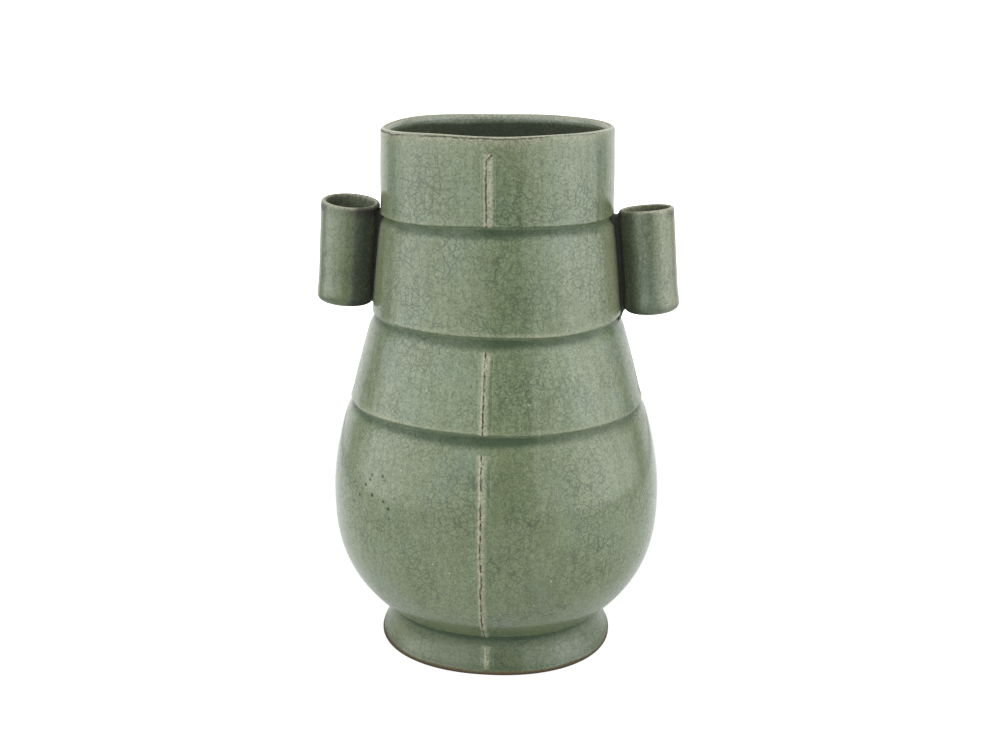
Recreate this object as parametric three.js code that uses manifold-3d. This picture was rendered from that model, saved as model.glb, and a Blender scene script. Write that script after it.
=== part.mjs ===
// Bamboo-joint arrow vase in crackled celadon stoneware, with two open tube lugs beside the neck.
// Five moulded sections are luted end to end. Every joint shows outside as a step like a bamboo node.
// Millimetres, +Z up. The origin is the centre of the foot's resting face, and the front looks along -Y.

import * as THREE from 'three';
import { mergeVertices } from 'three/addons/utils/BufferGeometryUtils.js';
import Module from 'manifold-3d';

// Heights above the resting face
const overallHeight = 280.6;
const footHeight = 17.4;
const bellyHeight = 86;
const bellyJointHeight = 138.9;
const neckJointHeight = 184.7;
const collarJointHeight = 236.6;
const seamHeight = 3;

// Half-widths of the outer wall, measured along X
const footHalfWidth = 64.3;
const waistHalfWidth = 57.6;
const bellyHalfWidth = 87.7;
const bellyJointHalfWidth = 77.2;
const neckJointHalfWidth = 64.7;
const collarJointHalfWidth = 59;
const mouthHalfWidth = 58;

// Shape of the cross-section and of the swelling belly
const sectionFlattening = 0.856;
const sectionSquareness = 2.17;
const lowerBellyFullness = 2.7;
const upperBellyFullness = 1.82;
const bandSwell = 0.4;

// Walls, floor and edges
const wallThickness = 5.5;
const rimThickness = 4.2;
const rimThinning = 12;
const footRingWidth = 8;
const floorThickness = 6;
const floorLedge = 5;
const footEdgeBevel = 0.7;
const assemblyGap = 0.3;

// Steps at the bamboo joints
const seamRecess = 1.7;
const tuckReach = 8;
const lipOverhang = 0.5;
const lipReach = 5;
const lipRound = 0.9;

// Tube lugs and the slip that holds them
const lugTopRise = 3.8;
const lugBottomRise = 3;
const lugBoreRadius = 11.9;
const lugWall = 2.6;
const lugStandOffTop = 1.8;
const lugStandOffBottom = 1.4;
const lutingWidth = 11;
const lutingFlare = 2;
const lutingTopDrop = 1.5;
const lutingBottomRise = 2.2;

// Vertical ribs on the front and back
const ribWidth = 4.2;
const ribHeight = 1;
const ribEndHeight = 0.4;
const ribEndReach = 2.5;
const mouthRibDrop = 9;
const footRibRise = 2.6;
const ribEndGap = 0.6;

// Fineness of the facets
const sectionSteps = 56;
const lugSteps = 32;
const ribSteps = 6;
const bellyRows = 12;
const shoulderRows = 7;
const neckRows = 7;
const collarRows = 8;
const footRows = 6;

// Glaze and clay colours
const glazeColour = 0x8a9a83;
const pooledGlazeColour = 0x5f7262;
const bareRibColour = 0x9a9480;
const footColour = 0x83907a;

const halfSeam = seamHeight / 2;
const footJointHeight = footHeight + halfSeam;
const lugRadius = lugBoreRadius + lugWall;
const lugTopHeight = collarJointHeight + lugTopRise;
const lugBottomHeight = neckJointHeight + lugBottomRise;
const lugLength = lugTopHeight - lugBottomHeight;

// A section of the body reaches from one joint's seam to the next
const sections = {
  foot: { bottom: 0, top: footHeight },
  belly: { bottom: footJointHeight + halfSeam, top: bellyJointHeight - halfSeam },
  shoulder: { bottom: bellyJointHeight + halfSeam, top: neckJointHeight - halfSeam },
  neck: { bottom: neckJointHeight + halfSeam, top: collarJointHeight - halfSeam },
  collar: { bottom: collarJointHeight + halfSeam, top: overallHeight },
};

/** Half-width of a nearly straight section between two joints, with a slight swell at its middle. */
function bandHalfWidth(bottom, top, lowHalfWidth, highHalfWidth, height) {
  const share = (height - bottom) / (top - bottom);
  return THREE.MathUtils.lerp(lowHalfWidth, highHalfWidth, share) + 4 * bandSwell * share * (1 - share);
}

/** Half-width of the belly: a full curve below its widest level, a slacker one above it. */
function bellyHalfWidthAt(height) {
  if (height < bellyHeight) {
    const rest = (bellyHeight - height) / (bellyHeight - footJointHeight);
    return bellyHalfWidth - (bellyHalfWidth - waistHalfWidth) * rest ** lowerBellyFullness;
  }
  const share = (height - bellyHeight) / (bellyJointHeight - bellyHeight);
  return bellyHalfWidth - (bellyHalfWidth - bellyJointHalfWidth) * share ** upperBellyFullness;
}

/** Half-width of the smooth body at a height, before the joints are stepped. */
function bodyHalfWidth(height) {
  if (height < footJointHeight) {
    return THREE.MathUtils.lerp(footHalfWidth, waistHalfWidth, height / footJointHeight);
  }
  if (height < bellyJointHeight) {
    return bellyHalfWidthAt(height);
  }
  if (height < neckJointHeight) {
    return bandHalfWidth(bellyJointHeight, neckJointHeight, bellyJointHalfWidth, neckJointHalfWidth, height);
  }
  if (height < collarJointHeight) {
    return bandHalfWidth(neckJointHeight, collarJointHeight, neckJointHalfWidth, collarJointHalfWidth, height);
  }
  return bandHalfWidth(collarJointHeight, overallHeight, collarJointHalfWidth, mouthHalfWidth, height);
}

/** Amount that fades from 1 at a joint to 0 at the end of its reach. */
function fade(distance, reach) {
  return Math.max(1 - distance / reach, 0) ** 2;
}

/** Half-width of a section's outside: tucked in below the joint above it, lipped over the joint below it. */
function outerHalfWidth(section, height) {
  const tucked = section === sections.collar ? 0 : seamRecess * fade(section.top - height, tuckReach);
  const lipped = section === sections.foot ? 0 : lipOverhang * fade(height - section.bottom, lipReach);
  return bodyHalfWidth(height) - tucked + lipped;
}

/** Heights from bottom to top, closer together towards both ends. */
function easedHeights(bottom, top, count) {
  return Array.from({ length: count + 1 }, (_, step) => {
    const share = (1 - Math.cos((Math.PI * step) / count)) / 2;
    return THREE.MathUtils.lerp(bottom, top, share);
  });
}

/** One point of the flattened, slightly squared cross-section, moved in by the inset. */
function sectionPoint(row, step) {
  const angle = (2 * Math.PI * step) / sectionSteps;
  const power = 2 / sectionSquareness;
  const across = Math.sign(Math.cos(angle)) * Math.abs(Math.cos(angle)) ** power;
  const along = Math.sign(Math.sin(angle)) * Math.abs(Math.sin(angle)) ** power;
  const x = (row.halfWidth - row.inset) * across;
  const y = (row.halfWidth * sectionFlattening - row.inset) * along;
  return [x, y, row.height];
}

/** Geometry from a flat list of coordinates and a list of corner numbers. */
function indexedGeometry(coordinates, corners) {
  const geometry = new THREE.BufferGeometry();
  geometry.setAttribute('position', new THREE.Float32BufferAttribute(coordinates, 3));
  geometry.setIndex(corners);
  geometry.computeVertexNormals();
  return geometry;
}

/** The triangles of the skin between neighbouring rows of points. */
function skinCorners(rowCount, pointCount, closed) {
  const corners = [];
  const bandCount = closed ? rowCount : rowCount - 1;
  for (let row = 0; row < bandCount; row += 1) {
    const low = row * pointCount;
    const high = ((row + 1) % rowCount) * pointCount;
    for (let point = 0; point < pointCount; point += 1) {
      const next = (point + 1) % pointCount;
      corners.push(low + point, low + next, high + next);
      corners.push(low + point, high + next, high + point);
    }
  }
  return corners;
}

/** Ring whose profile rows go up the outside and down the inside. */
function ringGeometry(rows) {
  const coordinates = [];
  for (const row of rows) {
    for (let step = 0; step < sectionSteps; step += 1) {
      coordinates.push(...sectionPoint(row, step));
    }
  }
  return indexedGeometry(coordinates, skinCorners(rows.length, sectionSteps, true));
}

/** Solid loft through rows of points, closed at both ends by fans around the rows' middles. */
function loftGeometry(rows) {
  const pointCount = rows[0].length;
  const middles = [rows[0], rows[rows.length - 1]].map((row) => {
    const middle = row.reduce((sum, point) => sum.map((value, axis) => value + point[axis]), [0, 0, 0]);
    return middle.map((value) => value / pointCount);
  });
  const corners = skinCorners(rows.length, pointCount, false);
  const lastRow = (rows.length - 1) * pointCount;
  const lowMiddle = rows.length * pointCount;
  for (let point = 0; point < pointCount; point += 1) {
    const next = (point + 1) % pointCount;
    corners.push(lowMiddle, next, point);
    corners.push(lowMiddle + 1, lastRow + point, lastRow + next);
  }
  return indexedGeometry([...rows.flat(2), ...middles.flat()], corners);
}

/** Solid block of the body's cross-section through the given profile rows. */
function blockGeometry(rows) {
  const steps = Array.from({ length: sectionSteps }, (_, step) => step);
  return loftGeometry(rows.map((row) => steps.map((step) => sectionPoint(row, step))));
}

/** Outside rows of a section, with a rounded lower edge where it laps over a joint. */
function outsideRows(section, count) {
  const lowest = section === sections.foot ? section.bottom + footEdgeBevel : section.bottom + lipRound;
  const edgeInset = section === sections.foot ? footEdgeBevel : lipRound;
  const rows = easedHeights(lowest, section.top, count).map((height) => {
    return { halfWidth: outerHalfWidth(section, height), inset: 0, height };
  });
  rows.unshift({ halfWidth: outerHalfWidth(section, section.bottom), inset: edgeInset, height: section.bottom });
  return rows;
}

/** Inside rows of a wall, from its top down to its bottom. */
function insideRows(section, count, thicknessAt) {
  const heights = easedHeights(section.bottom, section.top, count).reverse();
  return heights.map((height) => {
    return { halfWidth: bodyHalfWidth(height), inset: thicknessAt(height), height };
  });
}

/** Wall of a section between two joints. */
function wallGeometry(section, outsideCount, insideCount) {
  return ringGeometry([...outsideRows(section, outsideCount), ...insideRows(section, insideCount, () => wallThickness)]);
}

/** Mouth collar: its wall thins towards a rounded rim. */
function collarGeometry() {
  const section = sections.collar;
  const rimRadius = rimThickness / 2;
  const straight = { bottom: section.bottom, top: section.top - rimRadius };
  const thicknessAt = (height) => {
    const share = THREE.MathUtils.clamp((section.top - height) / rimThinning, 0, 1);
    return THREE.MathUtils.lerp(rimThickness, wallThickness, share);
  };
  const outside = outsideRows(section, collarRows).filter((row) => row.height < straight.top);
  const rimAngles = [0, 0.25, 0.5, 0.75, 1].map((share) => share * Math.PI);
  const rim = rimAngles.map((angle) => {
    const inset = rimRadius * (1 - Math.cos(angle));
    const height = straight.top + rimRadius * Math.sin(angle);
    return { halfWidth: bodyHalfWidth(straight.top), inset, height };
  });
  const inside = insideRows(straight, 4, thicknessAt).filter((row) => row.height < straight.top);
  return ringGeometry([...outside, ...rim, ...inside]);
}

/** Half-width of the floor slab, which fits inside the lowest seam. */
function floorHalfWidth() {
  return waistHalfWidth - wallThickness - assemblyGap;
}

/** Flared foot ring with a flat resting face, a leaning inner wall and a ledge for the floor. */
function footGeometry() {
  const section = sections.foot;
  const ledgeInset = waistHalfWidth - floorHalfWidth() + floorLedge;
  const inner = [
    { halfWidth: outerHalfWidth(section, section.top), inset: ledgeInset, height: section.top },
    { halfWidth: bodyHalfWidth(footEdgeBevel), inset: footRingWidth, height: footEdgeBevel },
    { halfWidth: bodyHalfWidth(section.bottom), inset: footRingWidth - footEdgeBevel / 2, height: section.bottom },
  ];
  return ringGeometry([...outsideRows(section, footRows), ...inner]);
}

/** Floor slab that closes the belly and rests on the foot ring's ledge. */
function floorGeometry() {
  const edge = { halfWidth: waistHalfWidth, inset: waistHalfWidth - floorHalfWidth() };
  const rows = [
    { ...edge, height: footHeight },
    { ...edge, height: footHeight + floorThickness },
  ];
  return blockGeometry(rows);
}

/** Ring of slip that joins two sections and forms the floor of the groove between them. */
function seamGeometry(jointHeight, lowerSection) {
  const bottom = jointHeight - halfSeam;
  const top = jointHeight + halfSeam;
  const tuckedHalfWidth = outerHalfWidth(lowerSection, bottom);
  const rows = [
    { halfWidth: tuckedHalfWidth, inset: 0, height: bottom },
    { halfWidth: tuckedHalfWidth, inset: 0, height: jointHeight },
    { halfWidth: tuckedHalfWidth, inset: -lipOverhang, height: top },
    { halfWidth: bodyHalfWidth(top), inset: wallThickness, height: top },
    { halfWidth: bodyHalfWidth(bottom), inset: wallThickness, height: bottom },
  ];
  return ringGeometry(rows);
}

/** Clearance envelope of the upper body, from which the lugs' slip is cut. */
function bodyEnvelopeGeometry() {
  const shoulder = outsideRows(sections.shoulder, shoulderRows);
  const neck = outsideRows(sections.neck, neckRows);
  const collar = outsideRows(sections.collar, collarRows);
  const rows = [...shoulder, ...neck, ...collar].map((row) => {
    return { ...row, inset: row.inset - assemblyGap };
  });
  return blockGeometry(rows);
}

/** Place and lean of a lug's axis, so that the tube follows the tapering neck. */
function lugPlacement(side) {
  const topX = bodyHalfWidth(lugTopHeight) + lugStandOffTop + lugRadius;
  const bottomX = bodyHalfWidth(lugBottomHeight) + lugStandOffBottom + lugRadius;
  const lean = Math.asin((bottomX - topX) / lugLength);
  const placement = new THREE.Group();
  placement.position.set((side * (topX + bottomX)) / 2, 0, (lugTopHeight + lugBottomHeight) / 2);
  placement.rotation.y = -side * lean;
  placement.updateMatrixWorld(true);
  return placement;
}

/** Open tube whose mouth is thin and whose lower edge is rounded and heavy. */
function lugGeometry() {
  const half = lugLength / 2;
  const mouthRound = lugWall / 2;
  const footRound = lugWall * 0.8;
  const profile = new THREE.Path();
  profile.moveTo(lugBoreRadius, -half + footRound / 2);
  profile.quadraticCurveTo(lugBoreRadius, -half, lugBoreRadius + footRound / 2, -half);
  profile.quadraticCurveTo(lugRadius, -half, lugRadius, -half + footRound);
  profile.lineTo(lugRadius, half - mouthRound);
  profile.absarc(lugRadius - mouthRound, half - mouthRound, mouthRound, 0, Math.PI, false);
  profile.closePath();
  const outline = profile.getPoints(4);
  const tube = new THREE.LatheGeometry(outline, lugSteps);
  tube.rotateX(Math.PI / 2);
  return tube;
}

/** Closed mesh with shared vertices, as a solid for joining and cutting. */
function solidFrom(wasm, geometry) {
  const bare = geometry.clone();
  bare.deleteAttribute('normal');
  bare.deleteAttribute('uv');
  const merged = mergeVertices(bare, 1e-4);
  const mesh = new wasm.Mesh({
    numProp: 3,
    vertProperties: new Float32Array(merged.getAttribute('position').array),
    triVerts: new Uint32Array(merged.getIndex().array),
  });
  return new wasm.Manifold(mesh);
}

/** Geometry of a finished solid. */
function geometryFrom(solid) {
  const mesh = solid.getMesh();
  return indexedGeometry(Array.from(mesh.vertProperties), Array.from(mesh.triVerts));
}

/** Slip between a lug and the neck: a strip, wider at the neck, cut to fit both. */
function lutingGeometry(wasm, side) {
  const bottom = -lugLength / 2 + lutingBottomRise;
  const top = lugLength / 2 - lutingTopDrop;
  const reach = lugRadius + wallThickness;
  const outline = new THREE.Shape();
  outline.moveTo(0, -lutingWidth / 2);
  outline.lineTo(0, lutingWidth / 2);
  outline.lineTo(-side * reach, lutingWidth / 2 + lutingFlare);
  outline.lineTo(-side * reach, -lutingWidth / 2 - lutingFlare);
  outline.closePath();
  const strip = new THREE.ExtrudeGeometry(outline, { depth: top - bottom, bevelEnabled: false });
  strip.translate(0, 0, bottom);
  const tube = new THREE.CylinderGeometry(lugRadius + assemblyGap, lugRadius + assemblyGap, 2 * lugLength, lugSteps);
  tube.rotateX(Math.PI / 2);
  const placement = lugPlacement(side);
  strip.applyMatrix4(placement.matrixWorld);
  tube.applyMatrix4(placement.matrixWorld);
  const cut = solidFrom(wasm, strip)
    .subtract(solidFrom(wasm, tube))
    .subtract(solidFrom(wasm, bodyEnvelopeGeometry()));
  return geometryFrom(cut);
}

/** Rib with a half-round section that follows the wall, front (-1) or back (1). */
function ribGeometry(section, bottom, top, side, count) {
  const rows = easedHeights(bottom, top, count).map((height) => {
    const wall = outerHalfWidth(section, height) * sectionFlattening + assemblyGap;
    const ending = Math.max(fade(height - bottom, ribEndReach), fade(top - height, ribEndReach));
    const crest = THREE.MathUtils.lerp(ribHeight, ribEndHeight, ending);
    return Array.from({ length: ribSteps + 1 }, (_, step) => {
      const angle = (Math.PI * step) / ribSteps;
      return [(-side * ribWidth * Math.cos(angle)) / 2, side * (wall + crest * Math.sin(angle)), height];
    }).reverse();
  });
  return loftGeometry(rows);
}

/** Heights of the ribs' ends on each section that carries one. */
function ribSpans() {
  return {
    mouth: [sections.collar, sections.collar.bottom + lipRound, overallHeight - mouthRibDrop, 5],
    shoulder: [sections.shoulder, sections.shoulder.bottom + lipRound, sections.shoulder.top - ribEndGap, 6],
    belly: [sections.belly, sections.belly.bottom + lipRound, sections.belly.top - ribEndGap, 12],
    foot: [sections.foot, footRibRise, sections.foot.top - ribEndGap, 4],
  };
}

const wasm = await Module();
wasm.setup();

const vase = new THREE.Group();

/** Names a piece, gives it its own material and adds it to a group. */
function addPiece(parent, name, geometry, colour, roughness) {
  const material = new THREE.MeshStandardMaterial({ color: colour, roughness, metalness: 0 });
  const piece = new THREE.Mesh(geometry, material);
  piece.name = name;
  parent.add(piece);
}

addPiece(vase, 'foot_ring', footGeometry(), footColour, 0.45);
addPiece(vase, 'base_slab', floorGeometry(), glazeColour, 0.4);
addPiece(vase, 'belly_wall', wallGeometry(sections.belly, bellyRows, 8), glazeColour, 0.3);
addPiece(vase, 'shoulder_band', wallGeometry(sections.shoulder, shoulderRows, 3), glazeColour, 0.3);
addPiece(vase, 'neck_band', wallGeometry(sections.neck, neckRows, 3), glazeColour, 0.3);
addPiece(vase, 'mouth_collar', collarGeometry(), glazeColour, 0.3);

addPiece(vase, 'foot_seam', seamGeometry(footJointHeight, sections.foot), pooledGlazeColour, 0.3);
addPiece(vase, 'belly_seam', seamGeometry(bellyJointHeight, sections.belly), pooledGlazeColour, 0.3);
addPiece(vase, 'neck_seam', seamGeometry(neckJointHeight, sections.shoulder), pooledGlazeColour, 0.3);
addPiece(vase, 'collar_seam', seamGeometry(collarJointHeight, sections.neck), pooledGlazeColour, 0.3);

for (const [name, side] of [['left', -1], ['right', 1]]) {
  const placement = lugPlacement(side);
  vase.add(placement);
  addPiece(placement, `lug_tube_${name}`, lugGeometry(), glazeColour, 0.3);
  addPiece(vase, `lug_luting_${name}`, lutingGeometry(wasm, side), pooledGlazeColour, 0.4);
}

for (const [face, side] of [['front', -1], ['back', 1]]) {
  for (const [name, [section, bottom, top, count]] of Object.entries(ribSpans())) {
    addPiece(vase, `${name}_rib_${face}`, ribGeometry(section, bottom, top, side, count), bareRibColour, 0.5);
  }
}

export default vase;
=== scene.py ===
"""Crackled celadon arrow vase with stepped bamboo joints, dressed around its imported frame."""

from dataclasses import dataclass, field
from enum import Enum
import logging
import math
from typing import ClassVar

import bpy
from mathutils import Matrix, Vector
import numpy as np


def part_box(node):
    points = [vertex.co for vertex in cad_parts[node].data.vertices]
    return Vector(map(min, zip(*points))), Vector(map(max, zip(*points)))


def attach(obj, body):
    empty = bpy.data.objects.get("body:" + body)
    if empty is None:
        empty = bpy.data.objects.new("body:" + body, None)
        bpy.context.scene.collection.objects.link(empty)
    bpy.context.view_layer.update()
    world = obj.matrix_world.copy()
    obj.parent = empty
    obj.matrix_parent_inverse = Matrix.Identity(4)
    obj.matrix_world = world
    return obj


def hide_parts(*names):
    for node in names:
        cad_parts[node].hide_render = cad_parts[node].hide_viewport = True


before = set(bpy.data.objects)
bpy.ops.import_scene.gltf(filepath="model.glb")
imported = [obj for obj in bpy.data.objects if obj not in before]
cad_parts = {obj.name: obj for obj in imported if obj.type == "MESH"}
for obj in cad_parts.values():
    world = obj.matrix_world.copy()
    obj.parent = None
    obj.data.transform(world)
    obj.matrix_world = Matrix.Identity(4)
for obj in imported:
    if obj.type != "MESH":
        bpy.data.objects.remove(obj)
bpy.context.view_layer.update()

LOG = logging.getLogger("vase")
BODY = "root"
SEED = 7
COLUMNS = 600
MM = 0.001
QUARTER_TURN = 0.5 * math.pi
FULL_TURN = 2.0 * math.pi
SHARP_ANGLE = math.radians(50.0)
Colour = tuple[float, float, float]
Paint = Colour | bpy.types.NodeSocket
Span = tuple[float, float]
Shares = dict[str, float]
Marks = dict[str, np.ndarray]


class Slot(Enum):
    """Material slots of the record that the pieces take their finish from."""

    GLAZE = "celadon_glaze"
    LUG = "lug_glaze"
    FOOT = "foot_glaze"
    POOL = "pooled_glaze"
    RIB = "rib_clay"


class Face(Enum):
    """Side of the vase that a rib stands on; the value is the direction along Y."""

    FRONT = -1
    BACK = 1


class Side(Enum):
    """Side of the neck that a lug stands on; the value is the direction along X."""

    LEFT = -1
    RIGHT = 1


def fade(distance: np.ndarray, reach: float) -> np.ndarray:
    """1 at no distance, falling as a parabola to 0 at the reach."""
    return np.clip(1.0 - distance / reach, 0.0, 1.0) ** 2


def hump(value: np.ndarray, centre: float, width: float) -> np.ndarray:
    """Bell curve of height 1 around a centre."""
    return np.exp(-(((value - centre) / width) ** 2))


def step_up(value: np.ndarray, low: float, high: float) -> np.ndarray:
    """Eased step from 0 at low to 1 at high, as a half cosine."""
    return (1.0 - np.cos(math.pi * np.clip((value - low) / (high - low), 0.0, 1.0))) / 2.0


def signed_power(value: np.ndarray, power: float) -> np.ndarray:
    """Value raised to a power with its sign kept."""
    return np.sign(value) * np.abs(value) ** power


def eased(start: float, end: float, count: int) -> np.ndarray:
    """Values from start to end, closer together at both ends, as a half cosine."""
    return start + (end - start) * step_up(np.linspace(0.0, 1.0, count), 0.0, 1.0)


def round_wave(levels: tuple[float, ...], angle: np.ndarray) -> np.ndarray:
    """Smooth wave round the vase through given levels.

    The levels stand at equal steps of angle from +X. The wave is the sum of whole-turn cosines and sines that
    passes through all of them.

    Args:
        levels: heights of the wave.
        angle: angles at which it is wanted.

    Returns:
        The wave at each angle.
    """
    terms = np.fft.rfft(levels) / len(levels)
    total = np.zeros_like(angle) + terms[0].real
    for turns, term in enumerate(terms[1:], start=1):
        share = 1.0 if 2 * turns == len(levels) else 2.0
        total = total + share * (term.real * np.cos(turns * angle) - term.imag * np.sin(turns * angle))
    return total


@dataclass(frozen=True)
class Handwork:
    """Slow unevenness of a hand-built wall, as a sum of a few waves round it and up it."""

    seed: int
    waves: int = 6
    decay: float = 0.7
    spread: float = 2.4

    def over(self, angle: np.ndarray, height: np.ndarray, pitch: float = 0.11) -> np.ndarray:
        """Sum of sines of whole turns round the wall and slow turns up it, within about -1 to 1.

        Args:
            angle: angle round the vase, any shape.
            height: height above the resting face, of a shape that broadcasts with angle.
            pitch: height of one slow wave in metres.

        Returns:
            The unevenness at each point.
        """
        random = np.random.default_rng(self.seed)
        total = np.zeros(np.broadcast(angle, height).shape)
        for turns in range(1, self.waves + 1):
            rise = random.uniform(-1.0, 1.0) * FULL_TURN / pitch
            phase = random.uniform(0.0, FULL_TURN)
            total = total + np.sin(turns * angle + rise * height + phase) / turns ** self.decay
        return total / self.spread


class Draw(Enum):
    """Random draws of a piece's marks: number added to its seed, waves round it and height of a wave."""

    WOBBLE = (0, 4, 0.05)
    LUG_RUST = (2, 9, 0.4)
    LUG_CLOUDS = (4, 6, 3.0)
    BARE_EDGE = (5, 14, 0.11)
    RIM_BREAKS = (9, 40, 0.11)
    RIM_RAG = (10, 60, 0.11)
    GLAZED_RAG = (12, 30, 0.11)
    EDGES = (50, 6, 0.03)
    LIP = (60, 12, 0.11)
    CLOUDS = (80, 9, 0.06)

    def over(self, seed: int, angle: np.ndarray, height: np.ndarray | float = 0.0) -> np.ndarray:
        """Unevenness of the piece with that seed at each point."""
        number, waves, pitch = self.value
        return Handwork(seed + number, waves).over(angle, height, pitch)


@dataclass(frozen=True)
class Joint:
    """Step where two sections meet: the lower one is tucked in and the upper one laps over it as a lip.

    The waves are rises of the joint's line in millimetres at equal steps of angle from +X.
    """

    node: str
    waves: tuple[float, ...]
    recess: float = 0.0015
    reach: float = 0.0088
    ledge: float = 0.0022
    start: float = 0.0006
    overhang: float = 0.0005
    lip_reach: float = 0.0050
    lip_round: float = 0.0011
    settled: float = 0.4

    def edge(self) -> float:
        """Level of the lip's lower edge, which is the top of the slip ring."""
        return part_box(self.node)[1].z

    def depth(self, below: np.ndarray) -> np.ndarray:
        """Depth of the tuck at a distance below the lip.

        Right under the lip it grows as a quarter ellipse over the ledge's height, and then it runs out as the
        square of a cosine down to the end of its reach.

        Args:
            below: distance below the lip's lower edge.

        Returns:
            How far the surface lies inside the smooth body.
        """
        near = np.clip(below / self.ledge, 0.0, 1.0)
        under = self.start + (self.recess - self.start) * np.sqrt(1.0 - (1.0 - near) ** 2)
        share = np.clip((below - self.ledge) / (self.reach - self.ledge), 0.0, 1.0)
        return np.where(below < self.ledge, under, self.recess * np.cos(share * QUARTER_TURN) ** 2)

    def wave(self, angle: np.ndarray) -> np.ndarray:
        """Height in metres that the joint's line rises by at each angle."""
        return MM * (round_wave(self.waves, angle) - self.settled)


FOOT_JOINT = Joint(
    "foot_seam", (0.0,) * 6, recess=0.0012, reach=0.0140, start=0.0018,
    overhang=0.0, lip_round=0.0022, settled=0.0,
)
BELLY_JOINT = Joint(
    "belly_seam",
    (0.3, 0.1, -0.2, -0.3, 0.1, 0.4, 0.1, -0.1, 0.1, 0.1, 0.0, 0.4, 0.6, 0.1, -0.45, -0.25, 0.2, 0.5),
)
NECK_JOINT = Joint(
    "neck_seam",
    (0.6, 0.4, 0.0, -0.3, 0.1, 0.3, 0.0, 0.2, 0.4, 0.5, 0.4, 0.4, 0.4, 0.0, -0.2, -0.7, 0.0, 0.6),
)
COLLAR_JOINT = Joint(
    "collar_seam",
    (-0.3, -0.2, 0.1, 0.2, 0.0, -0.2, -0.1, -0.4, -0.8, -1.0, -1.05, -1.0, -0.7, 0.2, 0.5, 0.2, -0.25, -0.3),
    reach=0.0070,
)
JOINTS = (FOOT_JOINT, BELLY_JOINT, NECK_JOINT, COLLAR_JOINT)
# Dips of the rim in millimetres at equal steps of angle from +X.
RIM_DIPS = (
    0.34, 0.45, 0.25, 0.15, 0.05, 0.38, 0.33, 0.12, 0.25, 0.95,
    1.40, 1.35, 1.00, 0.43, 0.25, 0.75, 0.45, 0.05, 0.01, 0.05,
)


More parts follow.
